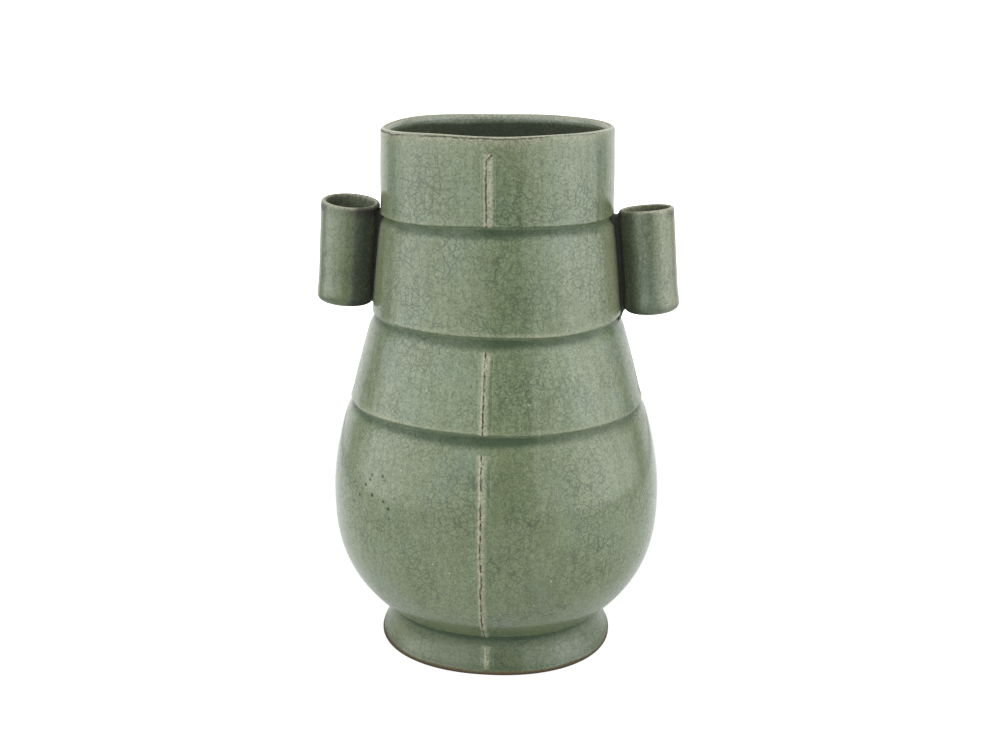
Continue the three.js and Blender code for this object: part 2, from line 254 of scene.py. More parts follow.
@dataclass(frozen=True)
class VesselForm:
    """Outline of the whole body: oval sections that swell into the belly and narrow to the mouth."""

    height: float = 0.2806
    foot_joint: float = 0.0189
    belly_level: float = 0.0860
    belly_joint: float = 0.1389
    neck_joint: float = 0.1847
    collar_joint: float = 0.2366
    foot_half_width: float = 0.0643
    foot_neck_half_width: float = 0.0571
    foot_flare: float = 1.3
    waist_half_width: float = 0.0576
    belly_half_width: float = 0.0877
    belly_joint_half_width: float = 0.0772
    neck_joint_half_width: float = 0.0647
    collar_joint_half_width: float = 0.0590
    mouth_half_width: float = 0.0580
    flattening: float = 0.856
    squareness: float = 2.17
    lower_fullness: float = 2.7
    upper_fullness: float = 1.82
    swell: float = 0.0004
    wall: float = 0.0055
    unevenness: float = 0.00018
    wave_reach: float = 0.0150
    rim_reach: float = 0.0350
    calm_foot: Span = (0.001, 0.012)
    calm_rim: float = 0.010

    def band(self, z: np.ndarray, low: Span, high: Span) -> np.ndarray:
        """Straight line between two (height, half-width) pairs, plus a parabola of the swell's height."""
        share = (z - low[0]) / (high[0] - low[0])
        return low[1] + (high[1] - low[1]) * share + 4.0 * self.swell * share * (1.0 - share)

    def half_width(self, z: np.ndarray) -> np.ndarray:
        """Half-width along X at each height.

        The foot is a straight flare. The belly is its greatest half-width less a power of the share of the
        way down to the foot or up to the belly joint. The bands above it are straight with a slight swell.

        Args:
            z: heights above the resting face.

        Returns:
            The smooth body's half-width, before the joints are stepped.
        """
        foot = (self.foot_joint, self.waist_half_width)
        belly = (self.belly_joint, self.belly_joint_half_width)
        neck = (self.neck_joint, self.neck_joint_half_width)
        collar = (self.collar_joint, self.collar_joint_half_width)
        flare = self.foot_half_width + (foot[1] - self.foot_half_width) * z / foot[0]
        down = np.clip((self.belly_level - z) / (self.belly_level - foot[0]), 0.0, 1.0)
        up = np.clip((z - self.belly_level) / (belly[0] - self.belly_level), 0.0, 1.0)
        lower = self.belly_half_width - (self.belly_half_width - foot[1]) * down ** self.lower_fullness
        upper = self.belly_half_width - (self.belly_half_width - belly[1]) * up ** self.upper_fullness
        below = [z < foot[0], z < self.belly_level, z < belly[0], z < neck[0], z < collar[0]]
        parts = [flare, lower, upper, self.band(z, belly, neck), self.band(z, neck, collar)]
        return np.select(below, parts, self.band(z, collar, (self.height, self.mouth_half_width)))

    def lift(self, angle: np.ndarray, z: np.ndarray) -> np.ndarray:
        """Rise of the clay: the waves of the joints near them, less the dips of the rim near it.

        Args:
            angle: angle of each point.
            z: height of each point.

        Returns:
            The rise at each point.
        """
        total = np.zeros(np.broadcast(angle, z).shape)
        for joint in JOINTS:
            near = np.cos(np.clip((z - joint.edge()) / self.wave_reach, -1.0, 1.0) * QUARTER_TURN) ** 2
            total = total + joint.wave(angle) * near
        rim = np.clip(1.0 - (self.height - z) / self.rim_reach, 0.0, 1.0) ** 2
        return total - MM * round_wave(RIM_DIPS, angle) * rim

    def dents(self, angle: np.ndarray, z: np.ndarray) -> np.ndarray:
        """Depth of the slow unevenness, which dies out towards the resting face and the rim."""
        held = step_up(z, *self.calm_foot) * step_up(self.height - z, 0.0, self.calm_rim)
        return self.unevenness * held * (1.0 + Handwork(SEED).over(angle, z))

    def place(
        self, angle: np.ndarray, half_width: np.ndarray, inset: np.ndarray, z: np.ndarray,
    ) -> np.ndarray:
        """Points on the oval section: a superellipse flattened front to back, moved in by the inset.

        Args:
            angle: angle round the vase from +X towards +Y.
            half_width: half-width of the section along X.
            inset: distance that the point lies inside the section.
            z: height of the point, before the waves of the joints and the rim lift it.

        Returns:
            Points with their coordinates on the last axis.
        """
        power = 2.0 / self.squareness
        inner = inset + self.dents(angle, z)
        x = (half_width - inner) * signed_power(np.cos(angle), power)
        y = (half_width * self.flattening - inner) * signed_power(np.sin(angle), power)
        return np.stack(np.broadcast_arrays(x, y, z + self.lift(angle, z)), axis=-1)

    def bearing(self, x: np.ndarray, half_width: np.ndarray, face: Face) -> np.ndarray:
        """Angle of the point of the front or back that lies at x."""
        return face.value * np.arccos(signed_power(x / half_width, self.squareness / 2.0))


FORM = VesselForm()


@dataclass
class Surface:
    """Grid of points with the numbers that the finishes read at each point."""

    points: np.ndarray
    marks: Marks = field(default_factory=dict)
    closed_rows: bool = True

    # The marks for pooled glaze and for cracks also carry painted shade, and the mark for thinned glaze also
    # carries painted light.
    MARKS = ("pool", "thin", "bare", "warm", "cool", "crack", "pitted")

    def piece(self, name: str) -> bpy.types.Object:
        """Makes the mesh object: quads between neighbouring rows and columns, and a flat cap on open ends.

        Args:
            name: name of the new object.

        Returns:
            The object, in the scene, smooth shaded, with one float attribute for each mark.
        """
        rows, columns = self.points.shape[:2]
        index = np.arange(rows * columns).reshape(rows, columns)
        low = index if self.closed_rows else index[:-1]
        high = np.roll(index, -1, axis=0) if self.closed_rows else index[1:]
        ring = [low, np.roll(low, -1, axis=1), np.roll(high, -1, axis=1), high]
        quads = np.stack(ring, axis=-1).reshape(-1, 4)
        caps = [] if self.closed_rows else [index[0][::-1], index[-1]]
        corners = np.concatenate([quads.ravel(), *caps])
        starts = np.concatenate([np.arange(0, quads.size, 4), quads.size + columns * np.arange(len(caps))])
        mesh = bpy.data.meshes.new(name)
        mesh.vertices.add(rows * columns)
        mesh.vertices.foreach_set("co", self.points.astype(np.float32).ravel())
        mesh.loops.add(len(corners))
        mesh.loops.foreach_set("vertex_index", corners.astype(np.int32))
        mesh.polygons.add(len(starts))
        mesh.polygons.foreach_set("loop_start", starts.astype(np.int32))
        mesh.polygons.foreach_set("use_smooth", np.ones(len(starts), bool))
        mesh.update(calc_edges=True)
        mesh.set_sharp_from_angle(angle=SHARP_ANGLE)
        for mark in self.MARKS:
            values = np.broadcast_to(self.marks.get(mark, 0.0), (rows, columns))
            layer = mesh.attributes.new(mark, "FLOAT", "POINT")
            layer.data.foreach_set("value", np.clip(values, 0.0, 1.0).astype(np.float32).ravel())
        made = bpy.data.objects.new(name, mesh)
        bpy.context.scene.collection.objects.link(made)
        return made


class Signal:
    """Number that varies over a surface, wrapped so that Python arithmetic on it adds Math nodes."""

    def __init__(self, graph: "ShaderGraph", socket: bpy.types.NodeSocket) -> None:
        """Keeps the graph and the output socket that carries the number."""
        self.graph = graph
        self.socket = socket

    def math(self, operation: str, *values: "Signal | float") -> "Signal":
        """Math node of an operation on the given values."""
        made = self.graph.node("ShaderNodeMath", {"operation": operation}, dict(enumerate(values)))
        return Signal(self.graph, made.outputs[0])

    def __add__(self, other: "Signal | float") -> "Signal":
        """Sum."""
        return self.math("ADD", self, other)

    __radd__ = __add__

    def __sub__(self, other: "Signal | float") -> "Signal":
        """Difference."""
        return self.math("SUBTRACT", self, other)

    def __rsub__(self, other: float) -> "Signal":
        """Difference from a number."""
        return self.math("SUBTRACT", other, self)

    def __mul__(self, other: "Signal | float") -> "Signal":
        """Product."""
        return self.math("MULTIPLY", self, other)

    __rmul__ = __mul__

    def most(self, other: "Signal | float") -> "Signal":
        """Greater of two values."""
        return self.math("MAXIMUM", self, other)

    def clamped(self) -> "Signal":
        """Value kept between 0 and 1."""
        return self.smooth(0.0, 1.0, "LINEAR")

    def smooth(self, low: float, high: float, kind: str = "SMOOTHSTEP") -> "Signal":
        """Step from 0 at low to 1 at high, eased unless another kind is named.

        Args:
            low: value where the step starts.
            high: value where it ends, which may be the smaller one.
            kind: Blender's name of the step's form.

        Returns:
            The step.
        """
        settings = {"interpolation_type": kind, "clamp": True}
        inputs = {"Value": self, "From Min": low, "From Max": high}
        return Signal(self.graph, self.graph.node("ShaderNodeMapRange", settings, inputs).outputs["Result"])

    def line(self, width: float) -> "Signal":
        """1 on a line of no distance, easing to 0 at the width."""
        return 1.0 - self.smooth(0.0, width)

    def between(self, low: float, high: float) -> "Signal":
        """Value spread straight, from low at 0 to high at 1."""
        return self * (high - low) + low


Signals = dict[str, Signal]


class ShaderGraph:
    """Node tree of one material, ending in a Principled shader."""

    def __init__(self, name: str) -> None:
        """Makes the material with an empty tree, its output and its shader.

        Args:
            name: name of the new material.
        """
        self.material = bpy.data.materials.new(name)
        self.material.use_nodes = True
        self.tree = self.material.node_tree
        self.tree.nodes.clear()
        self.shader = self.node("ShaderNodeBsdfPrincipled")
        self.node("ShaderNodeOutputMaterial", {}, {"Surface": self.shader.outputs["BSDF"]})
        self.coordinates = self.node("ShaderNodeTexCoord").outputs["Object"]

    def node(self, kind: str, settings: dict | None = None, inputs: dict | None = None) -> bpy.types.Node:
        """Adds a node of a type.

        Args:
            kind: Blender's name of the node's type.
            settings: attributes of the node, set first.
            inputs: values, sockets or signals by the name or number of the input socket.

        Returns:
            The new node.
        """
        made = self.tree.nodes.new(kind)
        for name, value in (settings or {}).items():
            setattr(made, name, value)
        for key, value in (inputs or {}).items():
            self.feed(made.inputs[key], value)
        return made

    def feed(self, target: bpy.types.NodeSocket, value: Signal | Paint | float) -> None:
        """Links a signal or a socket to an input, or sets the input's own value.

        Args:
            target: the input.
            value: signal or socket to link, or colour or number to set.
        """
        source = value.socket if isinstance(value, Signal) else value
        if isinstance(source, bpy.types.NodeSocket):
            self.tree.links.new(source, target)
        elif target.type == "RGBA":
            target.default_value = (*source, 1.0)
        else:
            target.default_value = source

    def mark(self, name: str) -> Signal:
        """Number that the surface carries under a name."""
        return Signal(self, self.node("ShaderNodeAttribute", {"attribute_name": name}).outputs["Fac"])

    def noise(self, scale: float, detail: float = 2.0, stretch: float = 1.0) -> Signal:
        """Soft noise around 0.5.

        Args:
            scale: patches a metre.
            detail: levels of finer noise within it.
            stretch: factor on the scale along Z; below 1 it draws the patches out upwards.

        Returns:
            The noise.
        """
        vector = self.coordinates
        if stretch != 1.0:
            drawn = {"Vector": vector, "Scale": (1.0, 1.0, stretch)}
            vector = self.node("ShaderNodeMapping", {}, drawn).outputs["Vector"]
        inputs = {"Vector": vector, "Scale": scale, "Detail": detail}
        return Signal(self, self.node("ShaderNodeTexNoise", {}, inputs).outputs["Fac"])

    def patch(self, kind: "Patch") -> Signal:
        """Noise cut to patches: 0 below its lower level and 1 above its upper one."""
        scale, detail, low, high = kind.value
        return self.noise(scale, detail).smooth(low, high)

    def shaken(self, scale: float, reach: float) -> bpy.types.NodeSocket:
        """Object coordinates moved about by noise, so that straight lines turn ragged.

        Args:
            scale: patches of the noise a metre.
            reach: how far it moves a point, in metres.

        Returns:
            The moved coordinates.
        """
        inputs = {"Vector": self.coordinates, "Scale": scale, "Detail": 2.0}
        colour = self.node("ShaderNodeTexNoise", {}, inputs).outputs["Color"]
        sized = self.node("ShaderNodeVectorMath", {"operation": "SCALE"}, {0: colour, "Scale": reach})
        total = {0: sized.outputs["Vector"], 1: self.coordinates}
        return self.node("ShaderNodeVectorMath", {"operation": "ADD"}, total).outputs["Vector"]

    def cells(self, scale: float, vector: bpy.types.NodeSocket) -> Signal:
        """Distance to the edges of a pattern of cells.

        Args:
            scale: cells a metre.
            vector: coordinates that the pattern is laid on.

        Returns:
            The distance, in cells.
        """
        inputs = {"Vector": vector, "Scale": scale, "Randomness": 1.0}
        made = self.node("ShaderNodeTexVoronoi", {"feature": "DISTANCE_TO_EDGE"}, inputs)
        return Signal(self, made.outputs["Distance"])

    def spots(self, kind: "Spots") -> Signal:
        """Round spots in a share of the cells: 1 in the middle of a spot, easing to 0 at its radius.

        Args:
            kind: the spots' size and number.

        Returns:
            The spots.
        """
        scale, radius, share = kind.value
        inputs = {"Vector": self.coordinates, "Scale": scale, "Randomness": 1.0}
        made = self.node("ShaderNodeTexVoronoi", {"feature": "F1"}, inputs)
        drawn = self.node("ShaderNodeSeparateColor", {}, {"Color": made.outputs["Color"]}).outputs["Red"]
        chosen = Signal(self, drawn).math("LESS_THAN", Signal(self, drawn), share)
        return Signal(self, made.outputs["Distance"]).line(radius) * chosen

    def mix(self, factor: Signal, first: Paint, second: Paint) -> bpy.types.NodeSocket:
        """Colour between two, by the factor."""
        inputs = {0: factor, 6: first, 7: second}
        return self.node("ShaderNodeMix", {"data_type": "RGBA"}, inputs).outputs[2]


class Grain(Enum):
    """Noises all over the glaze: patches a metre, detail, stretch upwards and share in its light and dark."""

    STREAKS = (38.0, 3.0, 0.12, 0.9)
    PATCHES = (17.0, 3.0, 1.0, 0.9)
    FIBRES = (430.0, 2.0, 0.14, 1.3)
    MOTTLE = (300.0, 3.0, 1.0, 1.0)
    SPECKLE = (900.0, 2.0, 1.0, 1.5)
    SAND = (1400.0, 2.0, 1.0, 1.7)


class Patch(Enum):
    """Noises cut to patches: patches a metre, detail, and the levels where a patch starts and is full."""

    CRACKED = (40.0, 2.0, 0.36, 0.62)
    DOTS = (1050.0, 0.0, 0.60, 0.74)
    WORN = (950.0, 1.0, 0.36, 0.62)


class Spots(Enum):
    """Round faults of the glaze: cells a metre, radius in cells, and share of the cells that have one."""

    PINHOLES = (330.0, 0.30, 0.10)
    POCKS = (150.0, 0.13, 0.16)
    HOLLOWS = (290.0, 0.42, 0.34)
    FLECKS = (240.0, 0.16, 0.05)


@dataclass(frozen=True)
class CrackleGlaze:
    """Soft-gloss celadon glaze with a fine dark crackle, thicker where it pools and thinned over edges; its
    layers also carry painted shade and painted light.
    """

    light: Colour = (0.163, 0.206, 0.112)
    dark: Colour = (0.082, 0.112, 0.045)
    olive: Colour = (0.108, 0.128, 0.044)
    teal: Colour = (0.122, 0.182, 0.150)
    # Colour of pooled glaze, also used for painted shade.
    pooled: Colour = (0.020, 0.045, 0.014)
    clay: Colour = (0.330, 0.312, 0.220)
    rust: Colour = (0.046, 0.031, 0.016)
    ochre: Colour = (0.150, 0.112, 0.045)
    # Colour of iron stains, also used for painted shade.
    iron_and_shade: Colour = (0.034, 0.023, 0.011)
    crack_colour: Colour = (0.020, 0.040, 0.015)
    fleck_colour: Colour = (0.62, 0.64, 0.55)
    darkness: float = 3.1
    hue_scale: float = 58.0
    hue_stretch: float = 0.5
    teal_hue: Span = (0.50, 0.78)
    teal_share: float = 0.34
    olive_hue: Span = (0.50, 0.25)
    olive_share: float = 0.30
    olive_streaks: Span = (0.55, 1.45)
    fine_cells: float = 270.0
    fine_line: float = 0.100
    fine_share: Span = (0.30, 0.85)
    large_cells: float = 95.0
    large_line: float = 0.045
    large_share: float = 0.8
    break_levels: Span = (0.36, 0.56)
    break_share: Span = (0.35, 1.0)
    dot_share: float = 0.55
    rag_scale: float = 420.0
    rag_reach: float = 0.0008
    crackle: float = 0.90
    pit_share: float = 0.62
    hollow_gain: float = 2.6
    hollow_depth: float = 1.5
    fleck_share: float = 0.55
    pool_scale: float = 90.0
    pool_least: float = 0.42
    pool_clouds: float = 0.55
    pool_speckle: float = 0.60
    worn_share: Span = (0.45, 1.50)
    bare_rag: float = 0.5
    bare_levels: Span = (0.42, 0.58)
    fringe_start: float = 0.98
    fringe_gain: float = 1.7
    fringe_rag: float = 0.9
    iron_breaks: Span = (1.0, 3.1)
    roughness: float = 0.30
    roughness_spread: float = 0.12
    coat_roughness: float = 0.14
    refraction: float = 1.5
    swell_scale: float = 75.0
    ripple: float = 0.45
    ripple_depth: float = 0.0010

    MATT: ClassVar[Shares] = {
        "bare": 0.45, "thin": 0.20, "iron_and_shade": 0.30, "pool": 0.30, "hollow": 0.40, "lines": 0.06,
    }
    DULL: ClassVar[Shares] = {
        "bare": 1.0, "thin": 0.5, "iron_and_shade": 0.8, "pool": 0.9, "hollow": 1.0, "lines": 0.45,
    }
    RELIEF: ClassVar[Shares] = {"swell": 0.9, "mottle": 0.30, "sand": 0.08, "lines": -0.10, "pits": -0.35}

    def faults(self, graph: ShaderGraph, speckle: Signal) -> Signals:
        """Crackle and pits.

        Two sizes of cells give the crackle's lines, stronger in some patches than in others and broken up by
        the speckle. Where the surface is marked as pitted, open hollows join the pinholes.

        Args:
            graph: graph of the material.
            speckle: fine noise of the glaze.

        Returns:
            The crackle's lines, the hollows and all the pits, by name.
        """
        ragged = graph.shaken(self.rag_scale, self.rag_reach)
        fine = graph.cells(self.fine_cells, ragged).line(self.fine_line)
        large = graph.cells(self.large_cells, ragged).line(self.large_line)
        strength = graph.patch(Patch.CRACKED)
        lines = (fine * strength.between(*self.fine_share)).most(large * strength * self.large_share)
        lines = lines * speckle.smooth(*self.break_levels).between(*self.break_share)
        lines = lines.most(graph.patch(Patch.DOTS) * self.dot_share)
        hollow = (graph.spots(Spots.HOLLOWS) * graph.mark("pitted") * self.hollow_gain).clamped()
        pits = graph.spots(Spots.PINHOLES).most(graph.spots(Spots.POCKS)).most(hollow * self.hollow_depth)
        return {"lines": lines, "hollow": hollow, "pits": pits}

    def covers(self, graph: ShaderGraph, speckle: Signal, mottle: Signal) -> Signals:
        """Where the glaze pools or is darkened by painted shade, thins to the clay or is lightened by painted
        light, leaves it bare, or is stained by iron or darkened by painted shade.

        Args:
            graph: graph of the material.
            speckle: fine noise of the glaze.
            mottle: middling noise of the glaze.

        Returns:
            The surface's marks, each broken up by noise, by name.
        """
        clouds = graph.noise(self.pool_scale, 3.0) * self.pool_clouds
        pool = graph.mark("pool") * (self.pool_least + clouds + speckle * self.pool_speckle)
        thin = graph.mark("thin") * graph.patch(Patch.WORN).between(*self.worn_share)
        bare = (graph.mark("bare") + (mottle - 0.5) * self.bare_rag).smooth(*self.bare_levels)
        iron_and_shade = graph.mark("crack") * (speckle - 0.5).between(*self.iron_breaks)
        return {"pool": pool, "thin": thin, "bare": bare, "iron_and_shade": iron_and_shade.clamped()}

    def colour(self, graph: ShaderGraph, grains: dict[Grain, Signal], masks: Signals) -> bpy.types.NodeSocket:
        """Colour of the glaze, laid on from the ground to the stains.

        The noises mix the light and dark glaze, with bluish and olive clouds. The crackle, pits and white
        flecks come next, and over them the pooled glaze with painted shade, the clay with painted light, the
        rusty bare edge and the iron stains with painted shade.

        Args:
            graph: graph of the material.
            grains: noises all over the glaze.
            masks: where each fault and cover shows.

        Returns:
            The colour.
        """
        tone = sum(signal * grain.value[-1] for grain, signal in grains.items())
        found = graph.mix((tone - self.darkness).clamped(), self.light, self.dark)
        hue = graph.noise(self.hue_scale, 2.0, self.hue_stretch)
        warm = graph.mark("warm") * grains[Grain.STREAKS].between(*self.olive_streaks)
        warm = warm + hue.smooth(*self.olive_hue) * self.olive_share
        fringe = (self.fringe_start - graph.mark("bare")) * self.fringe_gain
        fringe = fringe + (grains[Grain.SAND] - 0.5) * self.fringe_rag
        layers = (
            (hue.smooth(*self.teal_hue) * self.teal_share, self.teal),
            (warm.clamped(), self.olive),
            (graph.mark("cool"), self.teal),
            ((masks["lines"] * self.crackle).most(masks["pits"] * self.pit_share), self.crack_colour),
            (graph.spots(Spots.FLECKS) * self.fleck_share, self.fleck_colour),
            (masks["pool"].clamped(), self.pooled),
            (masks["thin"].clamped(), self.clay),
            (masks["bare"], graph.mix(fringe.clamped(), self.rust, self.ochre)),
            (masks["iron_and_shade"], self.iron_and_shade),
        )
        for factor, layer in layers:
            found = graph.mix(factor, found, layer)
        return found

    def material(self, name: str) -> bpy.types.Material:
        """Builds the material.

        Args:
            name: name of the new material.

        Returns:
            The material.
        """
        graph = ShaderGraph(name)
        grains = {grain: graph.noise(*grain.value[:3]) for grain in Grain}
        mottle, sand, speckle = grains[Grain.MOTTLE], grains[Grain.SAND], grains[Grain.SPECKLE]
        masks = self.faults(graph, speckle) | self.covers(graph, speckle, mottle)
        reliefs = masks | {"swell": graph.noise(self.swell_scale), "mottle": mottle, "sand": sand}
        height = sum(reliefs[key] * share for key, share in self.RELIEF.items())
        wrinkled = {"Strength": self.ripple, "Distance": self.ripple_depth, "Height": height}
        bump = graph.node("ShaderNodeBump", {}, wrinkled)
        matt = sum(masks[key] * share for key, share in self.MATT.items())
        dull = sum(masks[key] * share for key, share in self.DULL.items())
        uneven = (grains[Grain.PATCHES] - 0.5) * self.roughness_spread
        shader = graph.shader.inputs
        graph.feed(shader["Base Color"], self.colour(graph, grains, masks))
        graph.feed(shader["Roughness"], (self.roughness + matt + uneven).clamped())
        graph.feed(shader["Normal"], bump.outputs["Normal"])
        graph.feed(shader["Coat Weight"], (1.0 - dull).clamped())
        shader["Coat Roughness"].default_value = self.coat_roughness
        shader["IOR"].default_value = self.refraction
        return graph.material


def finish_piece(surface: Surface, label: str, node: str, material: bpy.types.Material) -> None:
    """Makes the mesh of a surface, dresses it and ties it to the frame.

    Args:
        surface: surface of the piece.
        label: word that the piece's name adds to the node's.
        node: CAD node that it stands for.
        material: its material.
    """
    made = surface.piece(f"{node}_{label}")
    made.data.materials.append(material)
    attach(made, BODY)
    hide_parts(node)
    LOG.info("%s: %d faces for %s", made.name, len(made.data.polygons), node)


def round_angles(columns: int = COLUMNS) -> np.ndarray:
    """Angles of the columns round the body, starting at +X, as a row."""
    return (np.arange(columns) * FULL_TURN / columns)[None, :]


def column(*parts: np.ndarray) -> np.ndarray:
    """Parts of a profile joined into one column."""
    return np.concatenate(parts)[:, None]


def corner(steps: int, start: float = 0.0) -> tuple[np.ndarray, np.ndarray]:
    """Quarter round of radius 1, as one less the cosine and one less the sine of each angle.

    Args:
        steps: number of angles from the start to a quarter turn, with both.
        start: first angle.

    Returns:
        The two distances, the first growing from about 0 to 1 and the second falling to 0.
    """
    turn = np.linspace(start, QUARTER_TURN, steps)
    return 1.0 - np.cos(turn), 1.0 - np.sin(turn)


@dataclass
class WallSection:
    """Wall of the body between two joints."""

    node: str
    seed: int
    above: Joint | None
    below: Joint | None
    slot: Slot = Slot.GLAZE
    row_pitch: float = 0.0009
    lip_steps: int = 8
    rib_lip_steps: int = 7
    rib_lip_start: float = 0.25
    inside_rows: int = 16
    # Painted shade that darkens the glaze inside the wall.
    painted_inside_shade: float = 0.85
    # The groove band below the joint above: pooled glaze deepened with painted shade.
    pool_depth: float = 0.76
    pool_depth_rag: Span = (0.95, 0.15)
    pool_reach: float = 0.0047
    pool_reach_rag: float = 0.10
    pool_ease: float = 0.0019
    pool_start: Span = (-0.0006, 0.0021)
    pool_swell: float = 0.30
    pool_swell_at: Span = (-0.08, 0.30)
    pool_side_loss: float = 0.18
    # Painted dark reflection deepening the groove band right of the front middle.
    pool_deepest: float = 0.34
    pool_deepest_at: Span = (0.14, 0.24)
    # The lip line is partly glaze thinned over the lip's edge and partly a painted highlight.
    lip_line_at: Span = (0.0013, 0.0008)
    lip_line: float = 0.20
    lip_line_spread: float = 0.24
    clouds: float = 0.22

    def span(self) -> Span:
        """Lowest and highest level of the section, from the frame."""
        low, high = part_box(self.node)
        return low.z, high.z

    def outside(self, z: np.ndarray) -> np.ndarray:
        """Half-width outside: the body's, less the tuck below the joint above, plus the lip below.

        Args:
            z: heights above the resting face.

        Returns:
            The half-width at each height.
        """
        half = FORM.half_width(z)
        if self.above:
            half = half - self.above.depth(self.above.edge() - z)
        if self.below:
            half = half + self.below.overhang * fade(z - self.below.edge(), self.below.lip_reach)
        return half

    def outside_rows(self, top: float) -> tuple[np.ndarray, np.ndarray]:
        """Rows up the outside: a quarter round at the lower edge, then even steps.

        Args:
            top: level where the rows end.

        Returns:
            The heights and the insets.
        """
        bottom, size = self.span()[0], self.below.lip_round
        rise, run = (size * part[:-1] for part in corner(self.lip_steps))
        z = np.linspace(bottom + size, top, int((top - bottom) / self.row_pitch))
        return np.concatenate([bottom + rise, z]), np.concatenate([run, np.zeros_like(z)])

    def rib_rows(self, bottom: float, top: float, pitch: float) -> tuple[np.ndarray, np.ndarray]:
        """Rows that a rib follows up the wall, round the lip if the section has one.

        Args:
            bottom: lower end of the rib, where the section has no lip.
            top: upper end of the rib.
            pitch: height of a row.

        Returns:
            The heights and the insets, as columns.
        """
        count = int((top - bottom) / pitch)
        if not self.below:
            return np.linspace(bottom, top, count)[:, None], np.zeros((count, 1))
        start, size = self.span()[0], self.below.lip_round
        rise, run = (size * part[:-1] for part in corner(self.rib_lip_steps, self.rib_lip_start))
        return column(start + rise, np.linspace(start + size, top, count)), column(run, np.zeros(count))

    def marks(self, z: np.ndarray, angle: np.ndarray) -> Marks:
        """Where the glaze outside pools under painted shade, shows clay and a painted highlight over the lip,
        and turns olive.

        The glaze pools in a band below the joint above, deepened by painted shade and, right of the front
        middle, by a painted dark reflection. The band is wider and deeper near the front, narrower at the
        sides, and its edges are eased steps. The clay shows in a bell curve just above the lip's edge, partly
        thinned glaze and partly a painted highlight.

        Args:
            z: height of each point.
            angle: angle of each point.

        Returns:
            The marks by name.
        """
        uneven = Draw.EDGES.over(self.seed, angle, z)
        turned = np.mod(angle, FULL_TURN) - 3.0 * QUARTER_TURN
        none = 0.0 * z * angle
        pool, thin = none, none
        if self.above:
            # Groove band: pooled glaze with painted shade, and a painted dark reflection right of the front
            # middle.
            down = self.above.edge() - z
            swell = self.pool_swell * hump(turned, *self.pool_swell_at)
            wide = swell - self.pool_side_loss * np.abs(np.cos(angle)) ** 4
            reach = self.pool_reach * (1.0 + self.pool_reach_rag * uneven + wide)
            least, rag = self.pool_depth_rag
            deep = self.pool_depth * (least + rag * uneven)
            deep = deep + self.pool_deepest * hump(turned, *self.pool_deepest_at)
            end = 1.0 - step_up(down, reach - self.pool_ease, reach + self.pool_ease)
            pool = deep * end * step_up(down, *self.pool_start)
        if self.below:
            # Lip line: thinned glaze and a painted highlight on the lip's edge.
            worn = self.lip_line + self.lip_line_spread * Draw.LIP.over(self.seed, angle)
            thin = hump(z - self.below.edge(), *self.lip_line_at) * worn
        return {"pool": pool, "thin": thin, "warm": self.warmth(angle, z), "cool": none}

    def warmth(self, angle: np.ndarray, z: np.ndarray) -> np.ndarray:
        """Faint olive clouds."""
        return self.clouds * np.clip(Draw.CLOUDS.over(self.seed, angle, z), 0.0, 1.0)

    def made(self, z: np.ndarray, half: np.ndarray, inset: np.ndarray, outer_rows: int) -> Surface:
        """Surface from a closed profile, with the section's marks outside and glaze darkened by painted shade
        inside.

        Args:
            z: heights up the outside and down the inside, as a column.
            half: half-width at each row.
            inset: inset at each row.
            outer_rows: number of the rows that lie outside.

        Returns:
            The surface.
        """
        angle = round_angles()
        outer = (np.arange(len(z))[:, None] < outer_rows).astype(float)
        marks = {name: outer * value for name, value in self.marks(z, angle).items()}
        # Painted shade inside the wall.
        marks["pool"] = marks["pool"] + (1.0 - outer) * self.painted_inside_shade
        return Surface(FORM.place(angle, half, inset, z), marks)

    def dress(self, surface: Surface, material: bpy.types.Material) -> None:
        """Makes the mesh of a surface and finishes it."""
        finish_piece(surface, "glazed", self.node, material)

    def build(self, material: bpy.types.Material) -> None:
        """Makes the closed wall and dresses it.

        Args:
            material: its glaze.
        """
        bottom, top = self.span()
        outer_z, outer_inset = self.outside_rows(top)
        inner_z = eased(top, bottom, self.inside_rows)
        half = column(self.outside(outer_z), FORM.half_width(inner_z))
        inset = column(outer_inset, np.full(self.inside_rows, FORM.wall))
        self.dress(self.made(column(outer_z, inner_z), half, inset, len(outer_z)), material)


@dataclass
class BellyWall(WallSection):
    """Round belly, darkened olive low down on the front and back by painted shade, with a pitted patch on
    each.
    """

    pitted_angle: Span = (-0.68, 0.20)
    pitted_level: Span = (0.101, 0.015)
    olive: float = 0.14
    # Painted shade: a darker olive field low on the front and back.
    low_painted_shade: float = 0.06
    low_shade_top: float = 0.095
    low_shade_ease: float = 0.045

    def marks(self, z: np.ndarray, angle: np.ndarray) -> Marks:
        """The section's marks with a patch of open pits on the left of each face, a bell curve both ways.

        Args:
            z: height of each point.
            angle: angle of each point.

        Returns:
            The marks by name.
        """
        found = super().marks(z, angle)
        turned = np.mod(angle, math.pi) - QUARTER_TURN
        found["pitted"] = hump(turned, *self.pitted_angle) * hump(z, *self.pitted_level)
        return found

    def warmth(self, angle: np.ndarray, z: np.ndarray) -> np.ndarray:
        """Faint clouds, and a darker olive field of painted shade low in the middle of each face.

        Args:
            angle: angle of each point.
            z: height of each point.

        Returns:
            The strength of the olive colour: clouds, an even tint and painted shade.
        """
        # Painted shade, darker low in the middle of each face.
        low = step_up(self.low_shade_top - z, 0.0, self.low_shade_ease)
        return super().warmth(angle, z) + self.olive + self.low_painted_shade * low * np.abs(np.sin(angle)) ** 3


